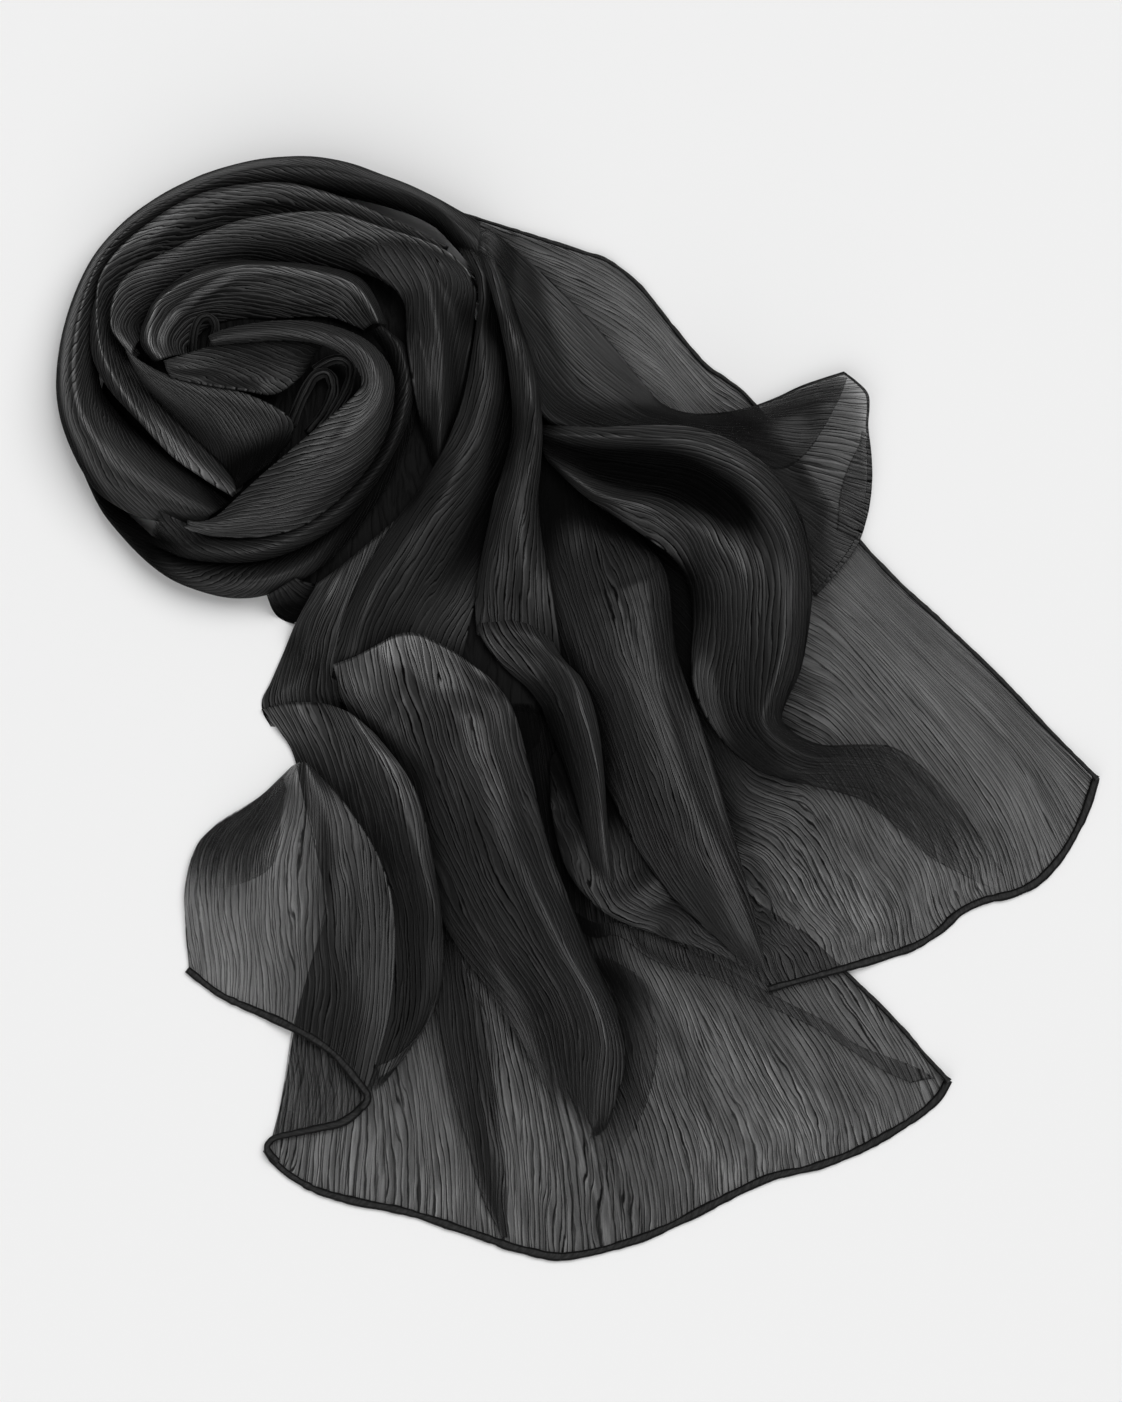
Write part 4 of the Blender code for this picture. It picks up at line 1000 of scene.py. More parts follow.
lowestCoil = {
    "node": "lowest_coil", "lies": "held", "cells": (6, 17), "cut": (0.036, 0.28, 0.006), "paintedSheen": 0.8,
    "slant": 0.45,
    "creases": (
        (((200, 235), (165, 280), (110, 292.5), (65, 280)), 3, 0.4),
    ),
    "folds": {
        "foot": ((208, 187, 15), (206, 212, 14.5), (195, 239, 14.5), (171, 270, 14.5), (148, 288, 14.5),
            (120, 297, 0.6), (87, 288, 0.6), (64, 268, 0.6), (52, 252, 0.6), (42, 232, 1.4)),
        "outer side": ((209, 185, 18), (207, 210, 17), (197, 237, 16.5), (174, 270, 16), (150, 290, 15),
            (120, 299, 12), (85, 289, 11), (60, 267, 9), (48, 250, 7), (39, 230, 5)),
        "crest": ((206, 184, 21), (204, 209, 21), (193, 236, 21), (170, 265, 21), (148, 284, 20), (119, 291, 20),
            (87, 284, 18), (63, 265, 15), (49, 248, 11), (42, 229, 8)),
        "inner line": ((202, 184, 18), (198, 208, 16), (186, 233, 15.5), (163, 258, 15), (143, 275, 15),
            (118, 281, 14.5), (90, 277, 14), (68, 261, 12), (54, 245, 10), (47, 228, 8)),
    },
}

coilOuter = {
    "node": "coil_outer", "lies": "held", "cells": (8, 18), "cut": (0.056, 0.416, 0.0185),
    "paintedSheen": ((0.9,), (0.7,), (1.1,), (1.8,), (1.7,), (0.3,)), "slant": 0.5,
    "creases": (
        (((100, 87.5), (60, 115), (35, 165), (37.5, 215), (65, 255)), 3, 0.5),
        (((150, 80), (190, 85), (225, 100)), 3, 0.4),
        (((50, 150), (42.5, 190), (55, 230)), 2, -0.4),
    ),
    "folds": {
        "foot": ((238, 118, 6), (203, 99, 1), (153, 84, 0.6), (98, 96, 0.6), (51, 134, 0.6), (32, 195, 0.6),
            (47, 240, 8), (73, 256, 23), (103, 259, 20)),
        "side": ((240, 111, 14), (205, 93, 15), (153, 78, 16), (95, 90, 16), (47, 128, 15), (28, 190, 14),
            (43, 238, 16), (70, 258, 25), (102, 262, 22)),
        "rim": ((240, 119, 24), (208, 97, 27), (151, 82, 30), (97, 93, 31), (50, 129, 31), (34, 188, 31),
            (49, 229, 30), (76, 249, 30), (105, 258, 26)),
        "inner fall": ((239, 127, 24), (211, 101, 27), (150, 87, 30), (100, 96, 29), (53, 131, 28), (40, 187, 30),
            (53, 219, 29), (81, 240, 29), (109, 255, 25)),
        "groove": ((238, 136, 17), (210, 109, 18), (149, 95, 20), (105, 103, 19), (60, 134, 19), (49, 184, 19),
            (60, 208, 19), (87, 230, 19), (114, 251, 18)),
    },
}

coilSecond = {
    "node": "coil_second", "lies": "held", "cells": (6, 19), "cut": (0.032, 0.343, 0.0086),
    "paintedSheen": ((1.0,), (1.8,), (2.5,), (2.8,), (2.2,), (1.6,)), "dim": 0.25, "slant": 0.35,
    "creases": (
        (((165, 92.5), (115, 95), (75, 120), (55, 155)), 2.5, 0.4),
        (((60, 180), (80, 215), (110, 245)), 2, -0.4),
        (((110, 103), (135, 99), (160, 104), (185, 116)), 1.5, 0.9),
        (((112, 107), (135, 103), (157, 108), (180, 119)), 1.3, -0.8),
    ),
    "folds": {
        "back foot": ((222, 127, 19), (201, 115, 21), (170, 101, 26), (137, 94, 29), (97, 102, 30), (57, 132, 31),
            (45, 161, 31), (52, 190, 30), (86, 225, 26), (117, 247, 22)),
        "rim": ((224, 122, 24), (202, 111, 27), (170, 97, 32), (137, 90, 35), (94, 98, 36), (54, 129, 37),
            (48, 160, 37), (55, 187, 36), (84, 225, 31), (116, 247, 25)),
        "inner fall": ((219, 126, 23), (198, 115, 26), (166, 101, 32), (134, 96, 34), (98, 107, 34), (58, 134, 33),
            (51, 160, 33), (59, 185, 33), (90, 220, 29), (120, 244, 23)),
        "groove": ((213, 132, 20), (193, 121, 23), (163, 111, 23), (131, 108, 23), (103, 118, 22), (66, 143, 20),
            (58, 161, 19), (67, 181, 20), (97, 213, 20), (122, 240, 18)),
    },
}

frontCoil = {
    "node": "front_coil", "lies": "held", "cells": (4, 16), "cut": (0.022, 0.223, 0.004),
    "restsOn": "lowest_coil", "paintedSheen": ((1.0,), (1.2,), (0.9,), (0.3,)), "slant": -0.45, "fade": (0, 9),
    "creases": (
        (((200, 210), (185, 250), (140, 275), (90, 270)), 2.5, 0.4),
    ),
    "folds": {
        "outer line": ((192, 164, 24), (203, 174, 24), (207, 196, 23), (198, 225, 22), (173, 260, 20), (136, 279, 19),
            (97, 280, 18), (73, 271, 13)),
        "rim": ((190, 163, 29), (200, 175, 30), (203, 197, 30), (194, 226, 29), (169, 255, 28), (134, 273, 27),
            (98, 274, 24), (76, 267, 18)),
        "inner line": ((185, 166, 24), (194, 179, 24), (196, 198, 23), (185, 223, 22), (161, 247, 21), (132, 265, 20),
            (99, 266, 20), (80, 260, 17)),
    },
}

coilThird = {
    "node": "coil_third", "lies": "held", "cells": (7, 18), "cut": (0.05, 0.239, 0.0091), "paintedSheen": 2.4,
    "dim": 0.4, "slant": 0.4,
    "creases": (
        (((200, 125), (160, 112.5), (115, 110), (80, 130)), 3, 0.5),
        (((162.5, 121.5), (185, 111)), 1.4, 0.5),
        (((170, 126), (192.5, 114)), 1.4, -0.5),
        (((150, 118), (172.5, 119)), 1.3, 0.4),
    ),
    "folds": {
        "back foot": ((238, 143, 21), (222, 129, 24), (191, 119, 27), (161, 111, 29), (121, 117, 30), (90, 130, 29),
            (66, 143, 28), (60, 163, 27), (69, 176, 27)),
        "rim": ((238, 138, 30), (222, 123, 35), (191, 112, 39), (161, 104, 43), (120, 109, 44), (86, 123, 43),
            (61, 138, 41), (55, 161, 38), (66, 177, 35)),
        "lip": ((232, 137, 30), (216, 124, 35), (187, 114, 40), (159, 108, 43), (121, 113, 44), (88, 127, 43),
            (65, 141, 40), (58, 160, 37), (67, 172, 35)),
        "inner fall": ((222, 140, 25), (206, 130, 30), (184, 121, 34), (156, 118, 35), (123, 121, 35), (93, 134, 34),
            (73, 147, 32), (65, 160, 31), (70, 168, 30)),
        "groove": ((212, 148, 19), (200, 144, 19), (183, 135, 19), (155, 131, 19), (124, 131, 19), (98, 142, 19),
            (80, 154, 19), (72, 161, 20), (75, 166, 21)),
    },
}

coilSide = {
    "node": "coil_side", "lies": "held", "cells": (6, 7), "cut": (0.055, 0.135, 0.0038), "paintedSheen": 0.8,
    "slant": 0.15,
    "ahead": ((176, 128, 35), (183, 120, 39), (193, 117, 40), (206, 118, 38), (224, 126, 34)),
    "fade": (26, 0),
    "creases": (
        (((210, 135), (220, 170), (220, 215)), 3, 0.5),
        (((200, 145), (212.5, 180), (215, 215)), 2, -0.5),
    ),
    "folds": {
        "left edge": ((200, 146, 24), (204, 170, 22), (208, 198, 20), (213, 220, 18), (218, 236, 16)),
        "left crest": ((207, 141, 29), (213, 168, 28), (217, 197, 26), (219, 220, 23), (219, 239, 17)),
        "right crest": ((214, 139, 29), (220, 166, 28), (222, 196, 25), (221, 219, 22), (220, 238, 16)),
        "trough": ((223, 138, 25), (226, 166, 21), (227, 195, 19), (224, 218, 17), (221, 237, 15)),
        "right side": ((237, 143, 24), (235, 168, 20), (230, 196, 18), (225, 218, 16), (222, 236, 14)),
    },
}

middlePanel = {
    "node": "middle_panel", "lies": "held", "cells": (6, 10), "cut": (0.041, 0.116, 0.0023), "slant": -0.7,
    "creases": (
        (((75, 180), (100, 200), (130, 215)), 3, 0.5),
        (((90, 190), (110, 220), (117.5, 235)), 2, -0.4),
    ),
    "folds": {
        "top edge": ((62, 173, 37), (70, 180, 37), (87, 188, 36), (118, 195, 35), (143, 207, 34), (145, 219, 31),
            (137, 229, 27)),
        "crest": ((64, 178, 37), (72, 186, 37), (91, 194, 36), (117, 202, 35), (137, 211, 33), (140, 221, 30),
            (133, 233, 26)),
        "fall": ((67, 184, 35), (76, 194, 33), (95, 205, 30), (113, 212, 30), (128, 220, 29), (129, 229, 26),
            (126, 238, 23)),
        "foot": ((71, 191, 30), (81, 202, 26), (97, 218, 22), (109, 229, 21), (116, 237, 20), (118, 241, 20),
            (119, 245, 19)),
    },
}

coilInner = {
    "node": "coil_inner", "lies": "held", "cells": (6, 15), "cut": (0.045, 0.177, 0.0053), "paintedSheen": 3.0,
    "dim": 0.35, "slant": 0.25,
    "creases": (
        (((165, 142.5), (135, 135), (100, 145), (82.5, 165)), 3, 0.4),
        (((145, 150), (170, 148.5)), 1.3, 0.5),
        (((150, 155), (176, 156)), 1.3, -0.5),
        (((135, 145), (160, 142.5)), 1.3, -0.4),
        (((118, 136), (99, 148), (85, 162), (82, 174)), 1.5, 1.0),
        (((114, 134), (95, 145.5), (80, 160), (78, 173)), 1.2, -1.0),
    ),
    "folds": {
        "outer foot": ((193, 160, 24), (184, 141, 25), (170, 133, 26), (140, 129, 27), (108, 131, 28), (81, 145, 29),
            (72, 158, 31), (70, 170, 33), (77, 179, 33)),
        "rim": ((190, 160, 31), (180, 143, 35), (167, 136, 38), (140, 131, 40), (109, 132, 41), (82, 145, 41),
            (74, 158, 40), (73, 169, 39), (80, 178, 37)),
        "inner fall": ((186, 160, 29), (176, 148, 31), (163, 143, 33), (139, 139, 34), (113, 140, 34), (91, 149, 34),
            (84, 160, 33), (83, 169, 33), (86, 176, 33)),
        "hollow": ((182, 163, 24), (168, 157, 23), (155, 156, 22), (137, 157, 20), (120, 157, 18), (106, 160, 18),
            (98, 166, 19), (93, 171, 22), (93, 175, 25)),
    },
}

underRope = {
    "node": "under_rope", "lies": "held", "cells": (4, 7), "cut": (0.029, 0.083, 0.0017), "slant": -0.5,
    "creases": (
        (((95, 177.5), (130, 175), (155, 172.5)), 2, 0.4),
    ),
    "folds": {
        "top": ((82, 180, 37), (95, 176, 32), (113, 171, 31), (138, 169, 32), (162, 172, 31)),
        "middle": ((83, 184, 38), (97, 185, 33), (118, 184, 31), (141, 182, 31), (158, 176, 30)),
        "bottom edge": ((85, 188, 37), (99, 192, 32), (118, 195, 30), (138, 196, 29), (152, 186, 28)),
    },
}

frontLip = {
    "node": "front_lip", "lies": "held", "cells": (6, 18), "cut": (0.037, 0.26, 0.0047),
    "restsOn": "middle_panel", "paintedSheen": 1.4, "slant": -0.4,
    "creases": (
        (((195, 200), (185, 225), (150, 255), (120, 265)), 4, 0.6),
        (((175, 200), (160, 225), (130, 250)), 3, -0.5),
        (((165, 215), (177.5, 220)), 1.3, 0.4),
    ),
    "folds": {
        "rope start": ((104, 168, 33), (118, 163, 36), (150, 160, 37), (178, 167, 36), (193, 180, 34), (197, 197, 32),
            (190, 224, 30), (170, 249, 28), (143, 266, 27), (106, 268, 26), (93, 265, 25)),
        "rope crest": ((105, 170, 35), (119, 166, 38), (150, 164, 40), (176, 171, 40), (189, 184, 39), (191, 201, 38),
            (182, 224, 36), (163, 244, 34), (140, 258, 32), (110, 264, 29), (94, 264, 26)),
        "inner face": ((106, 172, 33), (120, 169, 36), (150, 168, 38), (173, 175, 39), (184, 188, 40), (183, 203, 41),
            (172, 219, 41), (151, 234, 40), (130, 250, 36), (109, 261, 31), (94, 263, 26)),
        "inner rim": ((107, 173, 30), (120, 171, 33), (150, 170, 35), (172, 177, 37), (181, 189, 39), (178, 197, 41),
            (167, 207, 42), (148, 223, 41), (128, 240, 36), (107, 259, 30), (94, 262, 25)),
    },
}

tailATurn = {
    "node": "tail_a_turn", "cells": (10, 15), "cut": (0.132, 0.267, 0.0132), "restsOn": "tail_a_fan",
    "paintedSheen": 1.2, "dim": 0.55,
    "layers": ((4, 4, 4, 4, 4, 4), (2.5, 3, 4, 4, 4, 4), (1.6, 2, 2.5, 2.5, 2, 1.6),
        (0.9, 0.9, 0.85, 0.85, 1.0, 1.2)),
    "ahead": ((236, 111, 0.5), (234, 114, 1), (232, 119, 1), (231, 125, 1), (231, 133, 1), (232, 142, 1)),
    "fade": (16, 0),
    "creases": (
        (((250, 150), (285, 185), (325, 205)), 4, 0.6),
        (((270, 150), (305, 180), (350, 202.5)), 4, -0.5),
        (((370, 210), (395, 205), (422.5, 192.5)), 2.5, -0.5),
        (((400, 232.5), (417.5, 220), (431, 210)), 2.5, 0.5),
        (((300, 200), (345, 215), (380, 220)), 2.5, 0.4),
    ),
    "strips": {
        "ear front": {
            "plies": 0.75, "soft": (0.3, 0),
            "left": ((345, 206), (377, 204), (394.5, 198), (406.5, 193), (417.5, 188.5)),
            "right": ((372.5, 231), (395.5, 233), (410.5, 216.5), (418.5, 201), (424, 189)),
        },
        "hem on the ear's side": {
            "plies": 3.5, "rise": 0.3, "cells": (3, 40),
            "left": ((0, 0.7), (0, 0.85), (0, 1)),
            "right": ((0.02, 0.7), (0.02, 0.85), (0.02, 1)),
        },
        "thin hem at its end": {
            "plies": 3.5, "rise": 0.3, "cells": (3, 40),
            "left": ((0, 1), (0.25, 1), (0.5, 1)),
            "right": ((0, 0.993), (0.25, 0.993), (0.5, 0.993)),
        },
        "wide hem at its end": {
            "plies": 2.6, "rise": 0.3, "cells": (5, 50),
            "left": ((0.46, 1), (0.75, 1), (1, 1)),
            "right": ((0.46, 0.988), (0.75, 0.982), (1, 0.982)),
        },
        "ear back": {
            "plies": 0.6,
            "left": ((433, 216), (435, 224.5), (435.5, 236.5), (435, 246.5), (433, 259), (429, 270)),
            "right": ((431, 216), (429, 222.5), (425, 231), (420.5, 240.5), (419, 252.5), (418, 265)),
        },
    },
    "folds": {
        "turned edge": ((245, 115, 2), (270, 136, 2), (300, 166, 2), (320, 190, 2), (333, 203, 2), (352, 207, 3),
            (378, 203, 5), (401, 193, 7), (422, 186, 7)),
        "near edge": ((243, 122, 5), (267, 147, 4), (294, 178, 4), (319, 204, 4), (340, 212, 5), (363, 213, 6),
            (390, 209, 9), (412, 202, 12), (434, 197, 9)),
        "long fall": ((243, 132, 7), (264, 158, 5), (284, 191, 5), (308, 210, 8), (336, 214, 10), (366, 219, 10),
            (394, 221, 9), (415, 216, 10), (434, 213, 6)),
        "lip back": ((247, 142, 6), (263, 170, 5), (275, 200, 7), (300, 212, 12), (339, 216, 14), (372, 228, 12),
            (399, 240, 8), (417, 240, 7), (436, 240, 4)),
        "lip": ((251, 152, 4), (264, 181, 6), (271, 207, 8), (298, 216, 12), (340, 220, 14), (378, 237, 11),
            (402, 260, 6), (415, 264, 5), (429, 272, 2)),
        "ear foot": ((253, 159, 3), (264, 188, 4), (274, 211, 4), (298, 223, 6), (340, 229, 7), (377, 246, 6),
            (397, 272, 4), (403, 287, 3), (408, 298, 2)),
    },
}

tailAMiddle = {
    "node": "tail_a_middle", "cells": (8, 14), "cut": (0.079, 0.307, 0.0146), "restsOn": "tail_a_fan",
    "paintedSheen": ((0.9,), (0.7,), (1.2,), (1.6,), (1.8,)), "layers": ((4,), (3,), (1.9,), (1.1,)),
    "fade": (0, 26),
    "creases": (
        (((287.5, 300), (310, 295), (332.5, 287.5)), 3, 0.8),
        (((290, 307.5), (320, 306), (345, 295)), 2, -0.6),
        (((300, 320), (325, 360), (350, 415), (370, 465)), 5, 0.6),
        (((320, 320), (345, 370), (365, 430)), 4, -0.5),
        (((300, 287.5), (312.5, 305), (317.5, 325)), 1.8, -0.4),
    ),
    "folds": {
        "left edge": ((268, 223, 2), (259, 258, 3), (266, 314, 4), (288, 354, 3), (305, 395, 3), (330, 440, 2),
            (375, 484, 1.5)),
        "left fall": ((275, 228, 6), (274, 263, 7), (286, 314, 13), (305, 348, 12), (322, 395, 9), (347, 440, 6),
            (379, 488, 1.5)),
        "crown": ((284, 231, 5), (292, 262, 6), (306, 300, 16), (318, 343, 14), (334, 393, 11), (358, 440, 7),
            (382, 490, 1.5)),
        "right crown": ((292, 236, 3), (306, 263, 4), (321, 291, 15), (329, 335, 13), (344, 388, 10), (366, 438, 7),
            (384, 492, 1.5)),
        "right edge": ((300, 243, 2), (318, 266, 3), (333, 287, 7), (338, 326, 5), (353, 370, 4), (372, 437, 3),
            (386, 494, 1.5)),
    },
}

tailAFold = {
    "node": "tail_a_fold", "cells": (9, 22), "cut": (0.082, 0.406, 0.0177), "restsOn": "tail_a_fan",
    "paintedSheen": ((1.2,), (1.15,), (0.9,), (0.5,), (0.8,)), "layers": ((5,), (4.5,), (3.3,), (0.8,), (0.3,)),
    "fade": (0, 36),
    "creases": (
        (((300, 220), (340, 222.5), (370, 240), (387.5, 270), (390, 310)), 3.5, 0.7),
        (((300, 250), (330, 265), (355, 280), (365, 310), (367.5, 340)), 4, 0.6),
        (((320, 220), (350, 235), (370, 260), (375, 295)), 3, -0.6),
        (((380, 325), (377.5, 355), (395, 380), (425, 382.5)), 3, 0.5),
        (((400, 387.5), (435, 392.5), (465, 415)), 3, -0.4),
    ),
    "folds": {
        "outer edge": ((270, 212, 6), (300, 213, 12), (345, 213, 16), (378, 228, 16), (400, 256, 8), (406, 295, 5),
            (400, 335, 5), (391, 359, 4), (412, 372, 4), (446, 373, 4), (476, 398, 3), (502, 437, 1.5)),
        "lip crest": ((270, 216, 10), (300, 219, 17), (343, 221, 20), (371, 237, 22), (391, 264, 18), (397, 298, 15),
            (391, 334, 14), (384, 361, 11), (407, 377, 10), (443, 379, 9), (472, 404, 7), (501, 438, 2)),
        "hollow": ((271, 221, 5), (300, 232, 4), (340, 240, 4), (362, 254, 13), (378, 275, 18), (385, 302, 16),
            (383, 332, 13), (379, 361, 11), (402, 382, 9), (441, 385, 9), (470, 410, 7), (500, 440, 2)),
        "front crest": ((272, 226, 8), (297, 244, 14), (326, 252, 17), (350, 265, 20), (362, 283, 18), (367, 304, 13),
            (367, 333, 8), (370, 359, 6), (394, 386, 5), (437, 392, 5), (468, 418, 4), (499, 442, 2)),
        "inner edge": ((274, 230, 4), (292, 247, 6), (315, 262, 7), (336, 277, 7), (345, 293, 5), (347, 314, 4),
            (347, 340, 3), (360, 367, 3), (385, 387, 2), (431, 399, 2), (465, 427, 2), (498, 444, 1.5)),
    },
}

smallCorner = {
    "node": "small_corner", "cells": (2, 4), "cut": (0.028, 0.027, 0.0005), "restsOn": "lowest_coil",
    "layers": 6, "paintedSheen": 0.3,
    "folds": {
        "hem edge": ((134, 297, 1), (137, 305, 1), (141, 309, 1), (147, 311, 1)),
        "hidden side": ((147, 289, 1), (154, 292, 1), (161, 293, 1), (168, 297, 1)),
    },
}

leftPanel = {
    "node": "left_panel", "cells": (6, 8), "cut": (0.051, 0.103, 0.0035), "restsOn": "small_corner",
    "paintedSheen": 1.7, "dim": 0.6, "layers": ((6,), (4,), (3.5,)),
    "creases": (
        (((165, 280), (150, 310), (140, 340)), 3, 0.6),
        (((175, 290), (160, 320), (155, 345)), 3, -0.5),
    ),
    "folds": {
        "left edge": ((159, 291, 2), (149, 309, 3), (142, 326, 3), (136, 340, 3), (131, 352, 2), (136, 363, 1.5)),
        "left fall": ((170, 283, 4), (160, 303, 8), (153, 322, 9), (147, 338, 8), (143, 350, 4), (148, 364, 1.8)),
        "crown": ((182, 273, 5), (173, 297, 9), (168, 318, 10), (164, 335, 8), (162, 350, 4), (166, 364, 1.8)),
        "right side": ((197, 260, 4), (187, 285, 4), (180, 310, 4), (178, 330, 3), (180, 346, 2), (184, 358, 1.4)),
    },
}

foldOne = {
    "node": "fold_one", "cells": (8, 14), "cut": (0.065, 0.251, 0.0103), "restsOn": "heap_core",
    "paintedSheen": ((0.7,), (0.6,), (0.45,), (0.6,)), "layers": 6, "slant": 0.12,
    "ahead": ((229, 122, 1), (233, 122, 2), (238, 123, 2), (242, 127, 1), (247, 132, 1)),
    "fade": (16, 0),
    "creases": (
        (((237.5, 150), (237.5, 180), (225, 215), (205, 260), (185, 300)), 4, 0.8),
        (((220, 240), (200, 285), (187.5, 320)), 3, -0.6),
        (((240, 210), (235, 240), (215, 285)), 3, -0.5),
        (((252.5, 210), (250, 250), (235, 285)), 3, 0.4),
    ),
    "folds": {
        "left edge": ((239, 141, 5), (237, 170, 6), (230, 204, 7), (215, 236, 7), (192, 268, 7), (173, 305, 6),
            (166, 338, 2)),
        "crest": ((242, 140, 11), (242, 170, 14), (238, 205, 17), (225, 239, 18), (202, 273, 17), (183, 307, 13),
            (176, 342, 4)),
        "shoulder": ((246, 141, 11), (248, 172, 13), (246, 207, 14), (236, 243, 14), (214, 277, 13), (196, 308, 10),
            (191, 341, 4)),
        "valley": ((250, 144, 5), (254, 178, 5), (254, 212, 4), (245, 250, 4), (228, 283, 6), (212, 310, 7),
            (208, 338, 4)),
        "smooth panel": ((254, 150, 3), (260, 185, 3), (262, 220, 3), (251, 255, 3), (241, 285, 6), (234, 312, 6),
            (229, 336, 3)),
    },
}

foldTwo = {
    "node": "fold_two", "cells": (6, 12), "cut": (0.043, 0.22, 0.0054), "restsOn": "fold_one",
    "paintedSheen": ((0.95,), (0.9,), (0.8,), (0.6,)), "layers": 6, "slant": 0.1,
    "ahead": ((238, 125, 1), (241, 124, 2), (244, 124, 2), (247, 126, 1)),
    "fade": (16, 0),
    "creases": (
        (((250, 165), (260, 200), (257.5, 235), (245, 280)), 3, 0.6),
        (((260, 280), (255, 300), (260, 320)), 2, -0.5),
    ),
    "folds": {
        "left edge": ((247, 149, 4), (254, 182, 5), (256, 216, 6), (247, 250, 6), (238.5, 292, 5), (239, 317, 2)),
        "left crest": ((250, 147, 9), (258, 180, 12), (261, 214, 14), (253, 250, 14), (247, 293, 11), (250, 321, 4)),
        "right crest": ((253, 147, 9), (264, 182, 12), (267, 214, 14), (262, 251, 14), (262, 292, 11), (266, 325, 4)),
        "right edge": ((256, 149, 4), (268, 186, 5), (271, 217, 6), (269, 254, 6), (275, 292, 5), (280, 329, 2)),
    },
}

foldThree = {
    "node": "fold_three", "cells": (6, 11), "cut": (0.046, 0.156, 0.0038), "restsOn": "fold_two",
    "paintedSheen": 1.2, "layers": ((6,), (5,), (4,), (3,)), "fade": (4, 22), "sink": 7,
    "ahead": ((239, 302, 1), (248, 301, 2), (260, 301, 2), (272, 306, 1)),
    "creases": (
        (((260, 325), (285, 350), (295, 380), (300, 405)), 3, 0.6),
        (((250, 327.5), (272.5, 350), (286, 385)), 2, -0.5),
    ),
    "folds": {
        "left edge": ((240, 316, 1), (251, 332, 2), (267, 347, 3), (276, 366, 3), (287, 396, 2), (297, 436, 1)),
        "left crest": ((254, 316, 3), (269, 331, 8), (282, 352, 11), (290, 375, 9), (296, 404, 7), (301, 440, 2)),
        "right crest": ((268, 318, 3), (283, 334, 9), (292, 357, 12), (298, 381, 10), (301, 408, 7), (305, 443, 2)),
        "right edge": ((279, 326, 1), (292, 341, 3), (299, 363, 4), (302, 388, 3), (304, 415, 2), (308, 446, 1)),
    },
}

tailBTurn = {
    "node": "tail_b_turn", "cells": (5, 8), "cut": (0.046, 0.132, 0.0045), "restsOn": "tail_b_fan",
    "dim": 0.3, "layers": 0.35,
    "hems": [("loose", 3.2, 0, 1, ((138, 580), (134.8, 576.8), (133.6, 573.8), (134.6, 571.2)))],
    "creases": (
        (((160, 450), (152.5, 520), (150, 555)), 3, 0.4),
    ),
    "folds": {
        "left turn": ((166, 440, 1), (157, 480, 1), (147, 513, 1), (143, 538, 1.5), (138, 568, 1.5)),
        "light fold": ((174, 440, 1), (167, 480, 1), (160, 515, 2), (158, 540, 3), (156, 564, 2)),
        "near turn": ((184, 440, 1), (179, 480, 1), (174, 515, 2), (172, 540, 3), (172, 560, 2)),
        "right turn": ((194, 440, 1), (191, 480, 1), (188, 512, 2), (185, 534, 2), (181, 552, 2)),
    },
}

tailBSide = {
    "node": "tail_b_side", "cells": (8, 13), "cut": (0.066, 0.207, 0.0096), "restsOn": "left_panel",
    "paintedSheen": ((5.0,), (2.0,), (0.8,), (0.4,), (0.2,)), "dim": 0.6,
    "layers": ((6,), (4.5,), (3,), (2.2,), (1.5,)), "fade": (0, 8),
    "creases": (
        (((150, 362.5), (180, 380), (200, 410), (210, 450)), 5, 0.7),
        (((165, 370), (190, 400), (200, 440)), 3, -0.5),
        (((200, 450), (205, 490), (197.5, 520)), 4, -0.7),
    ),
    "strips": {
        "dark lower edge": {
            "plies": 2.5, "soft": (0.3, 0.1),
            "left": ((218.5, 498), (214.5, 517), (203, 529.5), (188.5, 538.5)),
            "right": ((215, 498), (210.5, 514), (199.5, 525), (187, 534)),
        },
    },
    "folds": {
        "left edge": ((131, 354, 1), (146, 374, 4), (152, 398, 2), (160, 432, 2), (168, 467, 2), (174, 505, 2),
            (177, 541, 2)),
        "left fall": ((144, 351, 2.5), (159, 374, 9), (166, 399, 5), (176, 433, 4), (182, 468, 3), (183, 506, 3),
            (180, 543.5, 2)),
        "crown": ((160, 351, 3), (174, 375, 13), (184, 399, 10), (194, 433, 7), (199, 468, 6), (196, 507, 5),
            (183.5, 545.5, 2)),
        "pouch": ((175, 356, 2.5), (187, 376, 12), (199, 399, 13), (208, 431, 11), (213, 466, 9), (208, 507, 6),
            (187, 545.5, 2)),
        "right edge": ((188, 367, 1.5), (199, 381, 5), (209, 399, 5), (216, 429, 5), (221, 468, 4), (217, 504, 3),
            (191, 542.5, 2)),
    },
}

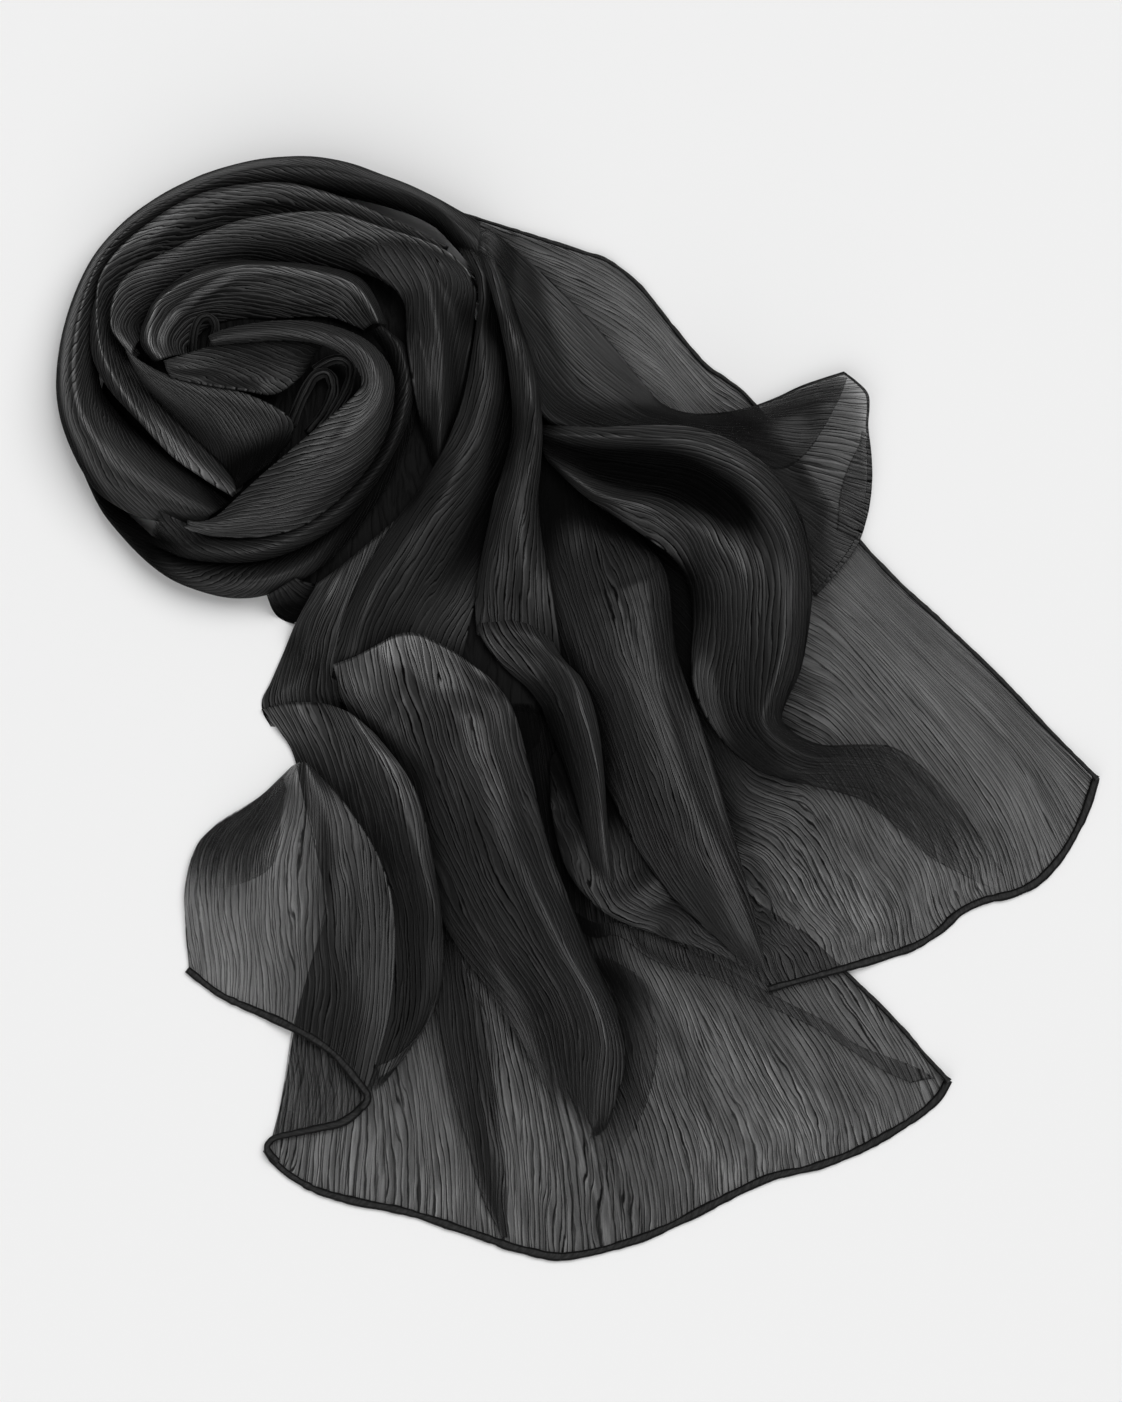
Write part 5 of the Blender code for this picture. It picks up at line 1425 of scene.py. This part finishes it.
frontPanel = {
    "node": "front_panel", "cells": (9, 14), "cut": (0.089, 0.269, 0.0166), "restsOn": "tail_b_fan",
    "paintedSheen": ((3.0,), (1.4,), (0.6,), (1.3,), (2.0,)), "dim": 0.6,
    "layers": ((6, 6, 6, 6), (5, 5, 5, 5), (2, 3.8, 4, 4), (0.5, 1.8, 3, 2.8), (0.2, 0.7, 1.8, 1.6)),
    "fade": (0, 22),
    "creases": (
        (((192.5, 327.5), (220, 350), (235, 380)), 5, 0.8),
        (((172.5, 350), (200, 395), (215, 425)), 4, -0.8),
        (((197.5, 372.5), (220, 345)), 2, -0.5),
        (((190, 367.5), (205, 340)), 1.6, 0.5),
        (((240, 400), (260, 465), (280, 520)), 4, 0.6),
        (((227.5, 410), (250, 480), (270, 530)), 4, -0.5),
    ),
    "folds": {
        "left edge": ((167, 332, 1), (173, 352, 2), (186, 379, 2), (201, 420, 2), (224, 465, 2), (254, 510, 2),
            (279, 555, 1.5)),
        "left fall": ((180, 327, 2), (189, 351, 8), (206, 381, 9), (222, 421, 9), (247, 466, 8), (272, 510, 6),
            (287, 560, 2)),
        "crown": ((203, 316, 3), (212, 349, 11), (228, 383, 13), (241, 421, 14), (264, 466, 13), (288, 512, 9),
            (292, 565, 2)),
        "right crown": ((224, 324, 3), (233, 350, 11), (246, 385, 13), (257, 423, 15), (278, 467, 15), (301, 514, 11),
            (298, 568, 2)),
        "right edge": ((244, 338, 2), (256, 354, 3), (265, 386, 4), (274, 423, 4), (290, 464, 4), (312, 522, 3),
            (303, 564, 1.5)),
    },
}

tailBFlap = {
    "node": "tail_b_flap", "cells": (10, 12), "cut": (0.113, 0.175, 0.0116), "restsOn": "tail_b_turn",
    "paintedSheen": ((3.6,), (1.6,), (1.3,), (1.2,)), "dim": 0.5,
    "layers": ((2.4, 2, 1.4, 1.3, 1.5, 2), (1.5, 1.2, 0.9, 1, 1.4, 1.8), (0.8, 0.8, 0.9, 1, 1.5, 1.8),
        (0.8, 0.8, 0.8, 1, 1.3, 1.6)),
    "hems": [("loose", 3.2, 0, 1, (), ((183.7, 548), (183.4, 550.8), (181.6, 553.2)))],
    "creases": (
        (((145, 395), (132.5, 425), (115, 460), (105, 480)), 4, 0.7),
        (((160, 400), (160, 440), (145, 480)), 4, -0.6),
        (((172.5, 415), (180, 450), (175, 490)), 3, 0.5),
        (((125, 415), (112.5, 440), (102.5, 465)), 3, -0.5),
    ),
    "strips": {
        "turned under": {
            "plies": 0.6, "soft": (0, 0.5),
            "left": ((142, 389), (120, 402.5), (102, 419), (96, 431), (95, 442)),
            "right": ((144, 395), (141, 410), (138, 429), (125, 440), (107.5, 446)),
        },
    },
    "folds": {
        "left edge": ((146, 383, 2), (128, 400, 3), (102, 418, 3), (93, 441, 4), (93, 463, 3), (95, 485, 1.5)),
        "left fall": ((148, 382, 6), (135, 402, 10), (117, 423, 13), (109, 446, 13), (109, 470, 9), (111, 497, 2)),
        "neck": ((150, 381, 8), (143, 404, 13), (135, 430, 15), (130, 456, 13), (130, 480, 8), (131, 506, 2)),
        "middle": ((152, 381, 8), (152, 405, 13), (152, 432, 13), (152, 460, 11), (152, 487, 8), (152, 516, 2)),
        "right fall": ((154, 382, 7), (162, 405, 11), (169, 434, 11), (172, 465, 9), (172, 495, 7), (168, 527, 2)),
        "right edge": ((157, 385, 3), (173, 403, 4), (190, 431, 4), (197, 463, 4), (194, 508, 3), (183, 545, 1.5)),
    },
}


# laying the cloth, from the lowest to the highest
commonCloth = {
    "lies": "laid", "held": "folded", "gather": 0.6,
    "slant": 0.0, "spacing": 3.6, "wide": 13.0,         # how the crinkles run, and millimetres from one to the next
    "fine": 0.08, "soft": 0.12, "crumple": 0.08,        # how high they stand
    # the second value here is a painted sheen, which brightens or dulls a sheet's highlights part by part
    "layers": 1.0, "paintedSheen": 1,
    "dim": 1,               # share of the painted shade between folds
    "fade": (0, 0),         # millimetres over which the ends grow thin
    "turned": 0.6,          # radius of the turn of the sides
    "sink": 0,              # how far the hidden rows go down
}
woundCloth = {"held": "gathered", "restsOn": "heap_core", "layers": 6, "fine": 0.02, "crumple": 0.02, "spacing": 3.1}
seedStep = 3.7
allCloth = [
    tailBFan, tailAFan,
    lowestCoil, coilOuter, coilSecond, frontCoil, coilThird, coilSide, middlePanel, coilInner, underRope, frontLip,
    tailATurn, tailAMiddle, tailAFold, smallCorner, leftPanel, foldOne, foldTwo, foldThree,
    tailBTurn, frontPanel, tailBSide, tailBFlap,
]
sheets = []
for number, settings in enumerate(allCloth):
    wound = woundCloth if settings.get("lies") == "held" else {}
    cloth = {**commonCloth, "seed": seedStep * number, **wound, **settings}
    cloth["name"] = pieceName(cloth["node"])
    sheet, hems = clothSheet(cloth, pile)
    sheets.append((sheet, cloth["dim"]))
    hemPieces = [hemPiece(pieceName(hem), hem, line, across) for hem, line, across in hems]
    width, length, area = cloth["cut"]
paintShadeInHollows(sheets, pile)
print("cloth laid")

# a loop is a narrow turned edge: its width and the points of its crest
loops = {
    "inner_loop": (4.6, ((95, 174, 25), (96, 162, 31), (99, 155, 33), (104, 154, 33), (107, 159, 31), (105, 168, 27),
                         (102, 176, 26))),
    "front_loop": (6.0, ((145, 210, 21), (150, 197, 25), (155.5, 187, 28), (159.5, 184, 28.5), (163.5, 184, 28),
                         (166, 188, 27), (166, 194, 26), (162, 203, 23), (154, 214, 21))),
    "back_loop": (5.6, ((157, 182.5, 25), (164, 178, 27), (170, 177, 28), (174.5, 180, 28), (175, 186, 27),
                        (171, 197, 25), (160, 214, 21))),
}
loopForm = {"stations": 60, "around": 24, "thickness": 6.4, "lower": 1.5, "sharp": 2.2, "seed": 50}


def addLoop(node, width, crest):
    count = loopForm["stations"]
    line = placed(smoothLine(crest, count))
    line = line - [0, 0, max(line[:, 2].max() + width / 2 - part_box(node)[1].z / mm, 0)]
    lump = noiseAt(np.arange(count) / 5, np.zeros(count), loopForm["seed"]) - 0.5
    points = tubePoints(line - [0, 0, loopForm["lower"]], width * (0.95 + 0.25 * lump), loopForm["thickness"],
                        loopForm["around"], loopForm["sharp"])
    tubePiece(pieceName(node), points, node, "chiffon", chiffon)


for node, (width, crest) in loops.items():
    addLoop(node, width, crest)
print("loops made")


def corners(pair):
    return [[round(value, 5) for value in corner] for corner in pair]
